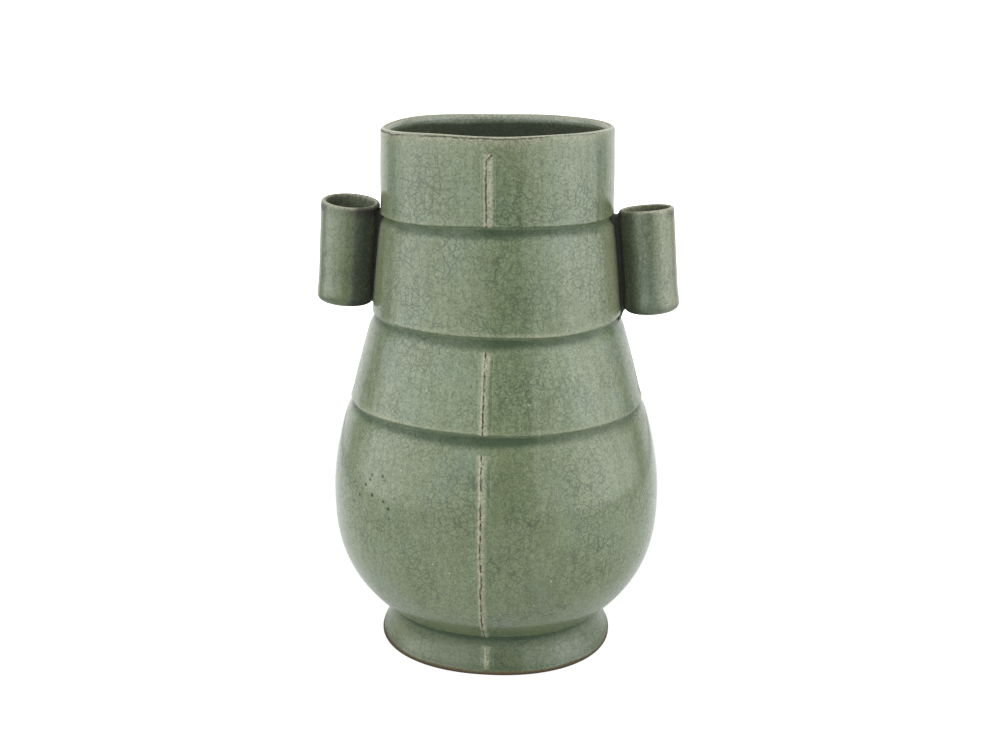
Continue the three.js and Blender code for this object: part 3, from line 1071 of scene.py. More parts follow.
@dataclass
class NeckBand(WallSection):
    """Neck, lightened with painted light beside the lugs."""

    # Painted light beside the lugs.
    side_paling: float = 0.34
    side_start: Span = (0.84, 0.95)

    def marks(self, z: np.ndarray, angle: np.ndarray) -> Marks:
        """The section's marks with a paler strip of painted light at each side.

        Args:
            z: height of each point.
            angle: angle of each point.

        Returns:
            The marks by name.
        """
        found = super().marks(z, angle)
        side = step_up(np.abs(np.cos(angle)), *self.side_start)
        # Painted light on the neck's sides beside the lugs.
        found["thin"] = found["thin"] + self.side_paling * side * (1.0 - found["pool"])
        return found


@dataclass
class MouthCollar(WallSection):
    """Collar below the mouth, with a rounded rim that shows a thin line of clay above a brown crack."""

    rim: float = 0.0042
    rim_steps: int = 25
    thinning: float = 0.0120
    lit_depth: float = 0.022
    lit_rows: int = 40
    dark_rows: int = 14
    # Inside the rim: a band of painted light down to these depths, and painted shade tinted brown below it.
    lit_band_depths: tuple[float, ...] = (1.2, 1.8, 2.0, 2.2, 2.4, 2.3, 1.7, 3.0, 4.5, 4.0, 4.5, 3.0)
    inside_start: Span = (0.6, 0.8)
    plain_depth: float = 0.01
    glazed_rag: float = 0.0004
    lit_band_ease: float = 0.0012
    shade_brown: float = 0.55
    lit_band_clay: float = 0.09
    lit_band_cool: float = 0.40
    # Painted dark reflection and painted light reflection, in strips near the edges of each face.
    dark_reflection_strip: float = 0.42
    dark_reflection_strip_at: Span = (1.035, 0.028)
    thin_strip: float = 0.20
    thin_strip_at: Span = (-1.16, 0.10)
    strips_start: Span = (0.002, 0.010)
    strips_waver: Span = (0.004, 900.0)
    clay_breaks: Span = (0.9, 0.3)
    clay_line: float = 0.95
    clay_line_at: Span = (0.0030, 0.0011)
    worn_zone: float = 0.48
    worn_zone_top: float = 0.0008
    worn_zone_end: float = 0.0014
    worn_zone_reach: float = 0.0040
    inner_line: float = 0.48
    inner_line_at: Span = (0.0052, 0.0015)
    inner_cool: float = 0.45
    brown_line_at: Span = (0.0012, 0.00042)
    brown_line_rag: float = 0.0005
    brown_breaks: Span = (0.60, 1.3)

    def build(self, material: bpy.types.Material) -> None:
        """Makes the collar with its rim and dresses it.

        The rim is a half ellipse over the wall's thickness. Its marks follow the distance along the profile.

        Args:
            material: its glaze.
        """
        bottom, top = self.span()
        radius = self.rim / 2.0
        outer_z, outer_inset = self.outside_rows(top - radius)
        turn = np.linspace(0.0, math.pi, self.rim_steps)[1:-1]
        rim_z = top - radius + radius * np.sin(turn)
        lit_end = top - self.lit_depth
        lit_z = np.linspace(top - radius, lit_end, self.lit_rows)
        inner_z = np.concatenate([lit_z, eased(lit_end, bottom, self.dark_rows)[1:]])
        thick = self.rim + (FORM.wall - self.rim) * np.clip((top - inner_z) / self.thinning, 0.0, 1.0)
        rim_half = np.full_like(rim_z, FORM.half_width(np.array([top - radius]))[0])
        half = column(self.outside(outer_z), rim_half, FORM.half_width(inner_z))
        inset = column(outer_inset, radius * (1.0 - np.cos(turn)), thick)
        z = column(outer_z, rim_z, inner_z)
        surface = self.made(z, half, inset, len(outer_z) + len(rim_z) // 2)
        inner_along = radius * math.pi + top - radius - inner_z
        along = column(outer_z - top + radius, radius * turn, inner_along)
        self.mark_inside(surface.marks, along, radius * math.pi)
        for name, value in self.rim_marks(along, round_angles()).items():
            surface.marks[name] = surface.marks.get(name, 0.0) + value
        self.dress(surface, material)

    def marks(self, z: np.ndarray, angle: np.ndarray) -> Marks:
        """The section's marks with a strip of painted dark reflection and a strip of painted light reflection
        up each face.

        Args:
            z: height of each point.
            angle: angle of each point.

        Returns:
            The marks by name.
        """
        found = super().marks(z, angle)
        reach, pace = self.strips_waver
        turned = np.mod(angle + reach * np.sin(z * pace), math.pi) - QUARTER_TURN
        below_rim = step_up(self.span()[1] - z, *self.strips_start)
        # Painted dark reflection near one edge of each face.
        found["pool"] = found["pool"] + self.dark_reflection_strip * hump(turned, *self.dark_reflection_strip_at) * below_rim
        # Painted light reflection near the other edge of each face.
        found["thin"] = found["thin"] + self.thin_strip * hump(turned, *self.thin_strip_at) * below_rim
        return found

    def mark_inside(self, marks: Marks, along: np.ndarray, rim_end: float) -> None:
        """Paints a band of painted light inside the rim, which ends in a wavy line above painted shade that
        darkens the inside.

        Args:
            marks: marks of the whole collar, changed in place.
            along: distance along the profile from the top of the straight outside.
            rim_end: distance at which the rim's round ends inside.
        """
        angle = round_angles()
        inside = step_up(along / rim_end, *self.inside_start)
        # The lighter band is painted light; below its wavy edge the dark is painted shade.
        rag = self.glazed_rag * Draw.GLAZED_RAG.over(self.seed, angle)
        glazed = MM * round_wave(self.lit_band_depths, angle) + rag
        dark = inside * step_up(along - rim_end - glazed, -self.lit_band_ease, self.lit_band_ease)
        lit = inside - dark
        marks["pool"] = marks["pool"] * (1.0 - inside) * (along < self.plain_depth) + dark
        marks["thin"] = marks["thin"] + self.lit_band_clay * lit
        marks["cool"] = marks["cool"] + self.lit_band_cool * lit
        marks["crack"] = self.shade_brown * dark

    def rim_marks(self, along: np.ndarray, angle: np.ndarray) -> Marks:
        """Marks near the rim: the clay line on its crest, the worn zone below it and the brown crack between.

        Args:
            along: distance over the rim towards the inside; it is negative on the outside.
            angle: angle of each column.

        Returns:
            The marks by name.
        """
        broken = Draw.RIM_BREAKS.over(self.seed, angle)
        rag = self.brown_line_rag * Draw.RIM_RAG.over(self.seed, angle)
        below = np.clip(self.worn_zone_top - along, 0.0, 1.0)
        worn = self.worn_zone * np.exp(-below / self.worn_zone_reach) * (along < self.worn_zone_end)
        least, gain = self.clay_breaks
        clay = (self.clay_line * hump(along, *self.clay_line_at) + worn) * (least + gain * broken)
        inner = hump(along, *self.inner_line_at)
        place, width = self.brown_line_at
        least, gain = self.brown_breaks
        crack = hump(along, place + rag, width) * np.clip(least + gain * broken, 0.0, 1.0)
        return {"thin": clay + self.inner_line * inner, "crack": crack, "cool": self.inner_cool * inner}


@dataclass
class FootRing(WallSection):
    """Flared foot ring with a bare brown resting edge and a leaning inner wall."""

    slot: Slot = Slot.FOOT
    ring_width: float = 0.0080
    ledge_inset: float = 0.0108
    ledge_power: float = 1.5
    edge_round: float = 0.0009
    edge_steps: int = 6
    flare_start: float = 0.0014
    flare_rows: int = 36
    inner_levels: tuple[float, ...] = (0.012, 0.006, 0.002, 0.0009)
    bare_height: float = 0.0024
    bare_full: float = 1.5
    bare_rag: float = 0.35
    warm_base: float = 0.45
    warm_rag: float = 0.3
    resting_face: float = 0.0004
    # Pooled glaze with painted shade under the belly's lower edge.
    crease: float = 0.55
    crease_span: Span = (0.0012, 0.0040)
    crease_foot: float = 0.42
    crease_foot_span: Span = (0.0030, 0.0085)
    crease_foot_rag: float = 0.3
    drip: float = 0.25
    drip_at: Span = (0.0035, 0.0015)
    face_shade: float = 0.22

    def outside(self, z: np.ndarray) -> np.ndarray:
        """Half-width outside, a hollow flare."""
        return foot_outline(z)

    def marks(self, z: np.ndarray, angle: np.ndarray) -> Marks:
        """Pooled glaze and painted shade in the crease, painted shade on the front and back, and bare clay
        along an uneven resting edge.

        Args:
            z: height of each point.
            angle: angle of each point.

        Returns:
            The marks by name.
        """
        uneven = Draw.EDGES.over(self.seed, angle, z)
        down = self.above.edge() - z
        start, usual_end = self.crease_foot_span
        end = usual_end * (1.0 + self.crease_foot_rag * uneven)
        # Pooled glaze with painted shade below the belly's edge, then painted shade on the front and back.
        pool = self.crease * (1.0 - step_up(down, *self.crease_span))
        pool = pool + self.crease_foot * (1.0 - step_up(down, start, end))
        pool = pool + self.drip * hump(z, *self.drip_at) + self.face_shade * np.abs(np.sin(angle)) ** 3
        edge = self.bare_height * (1.0 + self.bare_rag * Draw.BARE_EDGE.over(self.seed, angle))
        bare = np.clip(self.bare_full - z / edge, 0.0, 1.0)
        none = 0.0 * pool
        warm = self.warm_base + self.warm_rag * uneven
        return {"pool": pool, "thin": none, "bare": bare, "warm": warm, "cool": none}

    def build(self, material: bpy.types.Material) -> None:
        """Makes the ring with its flat resting face and dresses it.

        The inner wall's inset runs from the ring's width to the ledge's, as a power of its height's share.

        Args:
            material: its glaze.
        """
        bottom, top = self.span()
        rise, run = (self.edge_round * part for part in corner(self.edge_steps))
        outer_z = np.concatenate([rise, np.linspace(self.flare_start, top, self.flare_rows)])
        outer_inset = np.concatenate([run, np.zeros(self.flare_rows)])
        inner_z = np.array([top, *self.inner_levels, bottom])
        share = (inner_z - bottom) / (top - bottom)
        inner_inset = self.ring_width + (self.ledge_inset - self.ring_width) * share ** self.ledge_power
        inner_inset[-1] -= self.edge_round / 2.0
        half = column(self.outside(outer_z), FORM.half_width(inner_z))
        surface = self.made(column(outer_z, inner_z), half, column(outer_inset, inner_inset), len(outer_z))
        resting = hump(surface.points[..., 2], 0.0, self.resting_face)
        surface.marks["bare"] = np.maximum(surface.marks["bare"], resting)
        self.dress(surface, material)


def foot_outline(z: np.ndarray) -> np.ndarray:
    """Half-width of the foot: its neck under the belly plus a power of the share of the way down.

    Args:
        z: heights above the resting face.

    Returns:
        The half-width at each height.
    """
    share = np.clip(1.0 - z / FOOT_JOINT.edge(), 0.0, 1.0)
    neck = FORM.foot_neck_half_width
    return neck + (FORM.foot_half_width - neck) * share ** FORM.foot_flare


@dataclass
class JointSeam:
    """Ring of slip between two sections, where the glaze pools in the groove."""

    joint: Joint
    lower: WallSection
    rows: int = 14
    corner_rows: int = 8
    corner_size: float = 0.0005
    corner_end: float = 1e-5
    last_row: float = 0.0006
    # Painted shade that darkens the glaze inside the ring.
    painted_inside_shade: float = 0.75

    def outside(self, z: np.ndarray) -> np.ndarray:
        """Half-width of the groove's floor, which runs on from the section below.

        Args:
            z: heights above the resting face.

        Returns:
            The half-width at each height.
        """
        if self.joint is FOOT_JOINT:
            return foot_outline(z)
        return FORM.half_width(z) - self.joint.depth(self.joint.edge() - z)

    def build(self, material: bpy.types.Material) -> None:
        """Makes the ring: flush inside, with a groove outside whose rows close up towards the lip.

        Args:
            material: its glaze.
        """
        low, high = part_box(self.joint.node)
        even = np.linspace(low.z, high.z - self.last_row, self.rows)
        close = high.z - np.geomspace(self.corner_size, self.corner_end, self.corner_rows)
        outer_z = np.concatenate([even, close])
        outer_z[-1] = high.z
        inner_z = np.array([high.z, low.z])
        z = column(outer_z, inner_z)
        half = column(self.outside(outer_z), FORM.half_width(inner_z))
        inset = column(np.zeros_like(outer_z), np.full(2, FORM.wall))
        angle = round_angles()
        outer = column(np.ones_like(outer_z), np.zeros(2))
        marks = {name: outer * value for name, value in self.lower.marks(z, angle).items()}
        # Painted shade inside the ring.
        marks["pool"] = marks["pool"] + (1.0 - outer) * self.painted_inside_shade
        marks["bare"] = 0.0 * marks["pool"]
        surface = Surface(FORM.place(angle, half, inset, z), marks)
        finish_piece(surface, "glazed", self.joint.node, material)


@dataclass
class BaseSlab:
    """Floor of the belly, slightly dished on top."""

    node: str = "base_slab"
    dish: float = 0.0010
    rows: int = 12
    columns: int = COLUMNS // 4
    middle: float = 0.04
    pool: float = 0.5

    def build(self, material: bpy.types.Material) -> None:
        """Makes the slab from rings that shrink towards the middle above and below.

        Args:
            material: its glaze.
        """
        low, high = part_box(self.node)
        inset = FORM.waist_half_width - high.x
        shares = np.linspace(self.middle, 1.0, self.rows)
        under = np.full(self.rows, low.z)
        over = high.z - self.dish * (1.0 - shares[::-1] ** 2)
        z = column(under, over)
        angle = round_angles(self.columns)
        points = FORM.place(angle, np.full_like(z, FORM.waist_half_width), np.full_like(z, inset), z)
        points[..., :2] *= column(shares, shares[::-1])[..., None]
        surface = Surface(points, {"pool": np.full(points.shape[:2], self.pool)}, closed_rows=False)
        finish_piece(surface, "glazed", self.node, material)


class Drift(Enum):
    """Random drifts up a rib: distance between their knots in metres, and number added to the rib's seed."""

    LINE = (0.0016, 0)
    SLOW_LINE = (0.012, 1)
    BAND = (0.009, 2)
    DEPTH = (0.0014, 3)
    WEAR = (0.003, 4)


@dataclass
class Rib:
    """Low vertical ridge whose crest shows clay beside a pitted brown furrow."""

    node: str
    section: WallSection
    face: Face
    seed: int
    furrow_at: float = -0.0004
    band_at: float = 0.0016
    band_half: float = 0.0016
    band_strength: float = 0.62
    furrow_strength: float = 1.0
    hook: float = 0.0
    slant: float = 0.0
    blank: float = 0.0
    relief: float = 0.0010
    half_base: float = 0.0046
    sunk: float = 0.0018
    row_pitch: float = 0.0005
    across_steps: int = 49
    line_drift: float = 0.00012
    slow_drift: float = 0.00025
    hook_bend: Span = (0.0010, 0.0045)
    hook_depth: float = 0.95
    hook_start: Span = (0.0045, 0.0070)
    end_slope: Span = (-0.0005, 0.0040)
    end_paint: Span = (0.0, 0.0010)
    crest_share: float = 1.0 / 1.2
    crest_offset: float = 0.6
    crest_width: float = 0.0017
    base_width: float = 0.0032
    base_share: float = 0.25
    furrow_width: float = 0.00034
    furrow_depth: float = 0.00035
    furrow_share: Span = (0.68, 0.60)
    furrow_least: float = 0.06
    furrow_iron: float = 1.8
    stand_out: float = 0.00006
    edge_drop: float = 0.0007
    edge_start: float = 0.72
    edge_power: float = 1.5
    band_power: float = 2.6
    band_wear: Span = (0.9, 0.15)
    band_spread: float = 0.9
    band_spread_end: float = 0.0055
    side_paling: float = 0.7
    side_clay_at: Span = (-0.0009, 0.0005)
    side_pool: float = 0.16
    side_pool_at: Span = (0.0011, 0.0009)

    def wander(self, z: np.ndarray, drift: Drift) -> np.ndarray:
        """Random drift of about one unit up the rib, straight between its knots.

        Args:
            z: heights of the rows.
            drift: which of the drifts.

        Returns:
            The drift at each height.
        """
        pitch, number = drift.value
        knots = np.arange(z.min() - pitch, z.max() + 2.0 * pitch, pitch)
        return np.interp(z, knots, np.random.default_rng(self.seed + number).normal(0.0, 1.0, len(knots)))

    def ridge(self, x: np.ndarray, middle: np.ndarray, ends: np.ndarray, furrow: np.ndarray) -> np.ndarray:
        """Height of the skin above the wall: two bell curves less the furrow, dropping away at the edges.

        Args:
            x: place across the rib.
            middle: middle of the clay band at each row.
            ends: 1 along the rib, easing to 0 at its free ends.
            furrow: depth of the furrow as a share of the full depth.

        Returns:
            The height at each point.
        """
        crest = hump(x, middle * self.crest_offset, self.crest_width)
        bell = (crest + self.base_share * hump(x, 0.0, self.base_width)) * self.crest_share
        outward = (np.abs(x) / self.half_base - self.edge_start) / (1.0 - self.edge_start)
        height = self.relief * bell * ends - self.furrow_depth * furrow + self.stand_out
        return height - self.edge_drop * np.clip(outward, 0.0, 1.0) ** self.edge_power

    def build(self, material: bpy.types.Material) -> None:
        """Makes the ridge, with a ragged furrow beside its crest.

        The skin is the section's own wall moved out by the ridge's height, and its edges lie under the wall.
        The furrow is a narrow bell curve whose place and depth drift up the rib. The clay's is wider.

        Args:
            material: its glaze.
        """
        low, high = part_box(self.node)
        top = high.z - self.blank
        z, rounding = self.section.rib_rows(low.z, top, self.row_pitch)
        x = np.linspace(-1.0, 1.0, self.across_steps)[None, :] * self.half_base * -self.face.value
        slope = self.slant * (z - low.z) / (top - low.z)
        bent = self.hook * (1.0 - step_up(top - z, *self.hook_bend))
        line = self.furrow_at + self.line_drift * self.wander(z, Drift.LINE) + bent + slope
        line = line + self.slow_drift * self.wander(z, Drift.SLOW_LINE)
        middle = self.band_at + self.furrow_at + self.slow_drift * self.wander(z, Drift.BAND)
        near_end = top - z if self.section.below else np.minimum(z - low.z, top - z)
        ends = step_up(near_end, *self.end_slope)
        painted = step_up(near_end, *self.end_paint)
        hooked = self.hook_depth * (1.0 - step_up(top - z, *self.hook_start)) * (self.hook > 0.0)
        usual, drift = self.furrow_share
        deep = np.clip(usual + drift * self.wander(z, Drift.DEPTH), self.furrow_least, 1.0)
        deep = np.maximum(deep, hooked) * painted
        furrow = hump(x, line, self.furrow_width) * deep
        half = self.section.outside(z) + 0.0 * x
        angle = FORM.bearing(x, half, self.face)
        front = FORM.place(angle, half, rounding - self.ridge(x, middle, ends, furrow), z)
        back = FORM.place(angle, half, rounding + self.sunk + 0.0 * x, z)[:, ::-1]
        marks = self.section.marks(z, angle)
        spread = self.band_spread * (1.0 - step_up(top - z, 0.0, self.band_spread_end))
        half_band = self.band_half * (1.0 + spread)
        band = np.exp(-(np.abs((x - middle - slope) / half_band) ** self.band_power))
        band = band + self.side_paling * hump(x - line, *self.side_clay_at)
        usual, drift = self.band_wear
        worn = self.band_strength * (usual + drift * self.wander(z, Drift.WEAR)) * painted
        marks["thin"] = marks["thin"] + worn * band
        beside, width = self.side_pool_at
        pool = hump(x, middle + self.band_half + beside, width) * ends
        marks["pool"] = marks["pool"] + self.side_pool * pool
        marks["crack"] = np.clip(furrow * self.furrow_iron, 0.0, 1.0) * self.furrow_strength
        blank = np.zeros_like(half)
        full = {key: np.concatenate([value + blank, blank], axis=1)[:, ::-1] for key, value in marks.items()}
        surface = Surface(np.concatenate([front, back], axis=1)[:, ::-1], full, closed_rows=False)
        finish_piece(surface, "ridge", self.node, material)


@dataclass
class TubeLug:
    """Open tube beside the neck, leaning out at its foot, with a thin mouth and a heavy lower edge."""

    side: Side
    seed: int
    mouth_tilt: float
    taper: float
    radius: float
    stand_off: float
    top_rise: float
    bottom_rise: float
    pale: float = 0.0
    shade_at: float = 0.32
    shade: float = 1.0
    rust: float = 0.1
    wall: float = 0.0024
    lip_share: float = 0.6
    flare: float = 0.0005
    flare_at: Span = (0.09, 0.10)
    flare_in: float = 0.6
    wobble: float = 0.00018
    wobble_in: float = 0.8
    tilt_start: float = 0.70
    shoulder: float = 0.0016
    heel: float = 0.0030
    bore_end: float = 0.02
    bore_edge: float = 0.006
    bore_edge_out: float = 0.0001
    cad_radius: float = 0.0145
    cad_gaps: Span = (0.0014, 0.0018)
    columns: int = 180
    heel_steps: int = 11
    lip_steps: int = 10
    inner_lip_steps: int = 7
    rows: int = 70
    bore_rows: int = 40
    mouth_clay: float = 0.7
    mouth_clay_width: float = 0.0010
    # Painted light lifting the shaded side facing the neck.
    neck_side_veil: float = 0.30
    neck_side_veil_span: Span = (0.70, 0.96)
    bore_clay: float = 0.4
    bore_clay_width: float = 0.0012
    # Painted light falling into the bore's upper part.
    bore_pale: float = 0.30
    bore_pale_reach: float = 0.012
    brown: float = 0.75
    brown_at: Span = (0.0028, 0.0022)
    crease_ease: Span = (-0.10, 0.22)
    # Painted shade on the side facing the neck, tinted brown.
    crease_shade_brown: float = 0.46
    crease_shade_depth: float = 0.55
    heel_pool: float = 0.35
    heel_pool_at: Span = (0.0022, 0.0022)
    # Painted shade in the bore, deeper on the side towards the neck.
    bore_shade: float = 0.32
    bore_far_shade: float = 0.30
    bore_far_span: Span = (0.2, -0.9)
    # Painted light on the side away from the neck, with painted shade across the front and back.
    pale_span: Span = (-0.1, 0.6)
    pale_front_shade: float = 0.8
    pale_front_shade_end: float = 0.5
    clouds: float = 0.25

    def axis(self) -> tuple[np.ndarray, np.ndarray]:
        """Ends of the tube's axis, which stands off the neck's wall by the CAD's gap and radius.

        Returns:
            The lower end and the upper end.
        """
        top = FORM.collar_joint + self.top_rise
        bottom = FORM.neck_joint + self.bottom_rise
        widths = FORM.half_width(np.array([bottom, top]))
        x = widths + np.array(self.cad_gaps) + self.cad_radius + self.stand_off
        low = np.array([self.side.value * x[0], 0.0, bottom])
        return low, np.array([self.side.value * x[1], 0.0, top])

    def carried(self, angle: np.ndarray, radius: np.ndarray, along: np.ndarray) -> np.ndarray:
        """Points of the tube: a circle of the radius round the axis, at a share of the way up it.

        Args:
            angle: angle round the axis.
            radius: distance from the axis.
            along: share of the way from the lower end to the upper end.

        Returns:
            The points.
        """
        low, high = self.axis()
        up = (high - low) / np.linalg.norm(high - low)
        across = np.array([0.0, 1.0, 0.0])
        ring = np.cos(angle)[..., None] * np.cross(across, up) + np.sin(angle)[..., None] * across
        return low + (high - low) * along[..., None] + radius[..., None] * ring

    def marks(self, angle: np.ndarray, share: np.ndarray, outer: np.ndarray, length: float) -> Marks:
        """Marks of the tube's glaze: painted shade towards the neck and in the bore, darker at the heel, clay
        on the mouth, painted light on the side facing the neck and in the bore's upper part, and painted
        light away from the neck over painted shade across the front and back.

        Args:
            angle: angle round the tube from +X.
            share: share of the way up the tube.
            outer: 1 outside and 0 in the bore.
            length: length of the tube.

        Returns:
            The marks by name.
        """
        to_neck = -self.side.value * np.cos(angle)
        rust = self.rust + Draw.LUG_RUST.over(self.seed, angle, share)
        uneven = Draw.LUG_CLOUDS.over(self.seed, angle, share)
        # Painted shade towards the neck.
        crease = self.shade * step_up(to_neck - self.shade_at, *self.crease_ease)
        down = (1.0 - share) * length
        clay = self.mouth_clay * hump(down, 0.0, self.mouth_clay_width)
        # Painted light on the side facing the neck.
        clay = clay + self.neck_side_veil * step_up(to_neck, *self.neck_side_veil_span)
        # Painted light away from the neck.
        clay = clay + self.pale * step_up(-to_neck, *self.pale_span)
        bore_clay = self.bore_clay * hump(down, 0.0, self.bore_clay_width)
        # Painted light in the bore's upper part.
        bore_clay = bore_clay + self.bore_pale * np.exp(-down / self.bore_pale_reach)
        iron_and_shade = self.brown * hump(down, *self.brown_at) * np.clip(rust, 0.0, 1.0) + self.crease_shade_brown * crease
        pool = self.crease_shade_depth * crease + self.heel_pool * hump(share * length, *self.heel_pool_at)
        # Painted shade across the front and back of a pale tube.
        pool = pool + self.pale_front_shade * self.pale * (1.0 - step_up(np.abs(to_neck), 0.0, self.pale_front_shade_end))
        # Painted shade in the bore, deeper towards the neck.
        bore_shade = self.bore_shade + self.bore_far_shade * step_up(to_neck, *self.bore_far_span)
        return {
            "thin": outer * clay + (1.0 - outer) * bore_clay,
            "crack": outer * iron_and_shade,
            "pool": outer * pool + (1.0 - outer) * bore_shade,
            "warm": outer * self.clouds * (1.0 + uneven),
        }

    def build(self, material: bpy.types.Material) -> None:
        """Makes the tube: outside up, round the mouth, down the bore and round the heavy lower edge.

        Each round is a quarter ellipse. The radius has a faint wobble, a flare near the foot and a taper, and
        the mouth is tilted by lifting the upper end in proportion to Y.

        Args:
            material: its glaze.
        """
        low, high = self.axis()
        length = float(np.linalg.norm(high - low))
        rise, run = corner(self.heel_steps)
        heel_s, heel_r = self.heel / length * rise, self.radius - self.heel * run
        side_s = np.linspace(heel_s[-1], 1.0 - self.shoulder / length, self.rows)[1:]
        rise, run = (part[1:] for part in corner(self.lip_steps))
        lip_s, lip_r = 1.0 - self.shoulder / length * run, self.radius - self.wall * self.lip_share * rise
        rise, run = (part[1:] for part in corner(self.inner_lip_steps))
        in_share = 1.0 - self.lip_share
        in_s = 1.0 - self.wall * in_share / length * rise
        in_r = self.radius - self.wall * (self.lip_share + in_share * (1.0 - run))
        bore_s = np.linspace(in_s[-1], self.bore_end, self.bore_rows)[1:]
        bore = self.radius - self.wall
        share = column(heel_s, side_s, lip_s, in_s, bore_s, np.array([self.bore_edge]))
        side_r, bore_r = np.full_like(side_s, self.radius), np.full_like(bore_s, bore)
        radius = column(heel_r, side_r, lip_r, in_r, bore_r, np.array([bore + self.bore_edge_out]))
        outside = len(heel_s) + len(side_s) + len(lip_s)
        outer = (np.arange(len(share))[:, None] < outside).astype(float)
        angle = round_angles(self.columns)
        wobble = self.wobble * (Draw.WOBBLE.over(self.seed, angle, share * length) - self.wobble_in)
        swell = self.flare * (hump(share, *self.flare_at) - self.flare_in) + self.taper * (share - 0.5)
        points = self.carried(angle + 0.0 * share, radius + wobble + swell * outer, share + 0.0 * angle)
        upper = np.clip((share - self.tilt_start) / (1.0 - self.tilt_start), 0.0, 1.0) ** 2
        points[..., 2] += upper * math.tan(self.mouth_tilt) * points[..., 1]
        surface = Surface(points, self.marks(angle, share, outer, length))
        finish_piece(surface, "glazed", f"lug_tube_{self.side.name.lower()}", material)


@dataclass
class LugLuting:
    """Slip in the crease between a lug and the neck, darkened by painted shade, with hollow flanks and a
    small arch at its foot.
    """

    lug: TubeLug
    neck_half: float = 0.0066
    tube_half: float = 0.0052
    waist: float = 0.42
    bite: float = 0.0008
    neck_bite: float = 0.0012
    arch: float = 0.0016
    tail: float = 0.0030
    foot_reach: float = 0.007
    head_reach: float = 0.006
    rows: int = 80
    across: int = 14
    # Painted shade over the slip, eased off at its foot and tinted brown.
    pool: float = 0.95
    pool_foot: float = 0.45
    iron_and_shade: float = 0.70

    def build(self, material: bpy.types.Material) -> None:
        """Makes the strip: a ring of points across each height, from the neck's wall to the tube's.

        Its half-width runs straight from the neck's to the tube's, less half a sine for the hollow flanks.
        The foot and the head rise in an arch, and the foot ends in a tail on the tube's side.

        Args:
            material: its glaze.
        """
        node = f"lug_luting_{self.lug.side.name.lower()}"
        low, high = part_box(node)
        z = np.linspace(low.z - self.tail, high.z, self.rows)[:, None]
        foot, head = self.lug.axis()
        axis_x = np.abs(foot[0] + (head[0] - foot[0]) * (z - foot[2]) / (head[2] - foot[2]))
        share = np.linspace(0.0, 1.0, self.across)[None, :]
        arc = np.sin(math.pi * share)
        half = (self.neck_half + (self.tube_half - self.neck_half) * share) * (1.0 - self.waist * arc)
        neck_wall = FORM.half_width(z) - self.neck_bite
        bulge = (half / (neck_wall * FORM.flattening)) ** FORM.squareness / FORM.squareness
        neck_x = neck_wall * (1.0 - bulge)
        tube_x = axis_x - np.sqrt(np.clip(self.lug.radius ** 2 - half ** 2, 0.0, None)) + self.bite
        x = self.lug.side.value * (neck_x + (tube_x - neck_x) * share)
        foot_end = np.clip(1.0 - (z - z[0]) / self.foot_reach, 0.0, 1.0)
        head_end = np.clip(1.0 - (high.z - z) / self.head_reach, 0.0, 1.0)
        shift = (self.arch * arc + self.tail * share) * foot_end - self.arch * arc * head_end
        forth, back = (np.stack(np.broadcast_arrays(x, y, z + shift), axis=-1) for y in (-half, half))
        points = np.concatenate([forth, back[:, ::-1]], axis=1)
        if self.lug.side is Side.LEFT:
            points = points[:, ::-1]
        # Painted shade over the slip.
        marks = {"pool": self.pool - self.pool_foot * foot_end, "crack": self.iron_and_shade * (1.0 - foot_end)}
        finish_piece(Surface(points, marks, closed_rows=False), "slip", node, material)


@dataclass(frozen=True)
class LightWall:
    """One wall of the light tent, between two bearings in degrees from the front towards the right."""

    name: str
    start: float
    end: float
    radiance: float
    low: float = -0.40
    high: float = 3.0


LIGHT_WALLS = (
    LightWall("front_left_wall", -30.0, -6.0, 1.10),
    LightWall("mid_left_wall", -52.0, -30.0, 1.45),
    LightWall("left_wall", -86.0, -52.0, 1.95),
    LightWall("rear_left_wall", -98.0, -86.0, 0.95),
    LightWall("back_left_wall", -179.0, -120.0, 0.55, high=0.90),
    LightWall("high_left_wall", -179.0, -110.0, 0.80, low=0.90),
    LightWall("front_right_wall", 21.0, 38.0, 1.05),
    LightWall("mid_right_wall", 38.0, 52.0, 1.40),
    LightWall("right_wall", 52.0, 84.0, 2.08),
    LightWall("rear_right_wall", 84.0, 104.0, 1.38),
    LightWall("far_right_wall", 104.0, 114.0, 0.65),
    LightWall("back_right_wall", 130.0, 179.0, 0.46, high=0.90),
    LightWall("high_right_wall", 126.0, 179.0, 0.80, low=0.90),
)


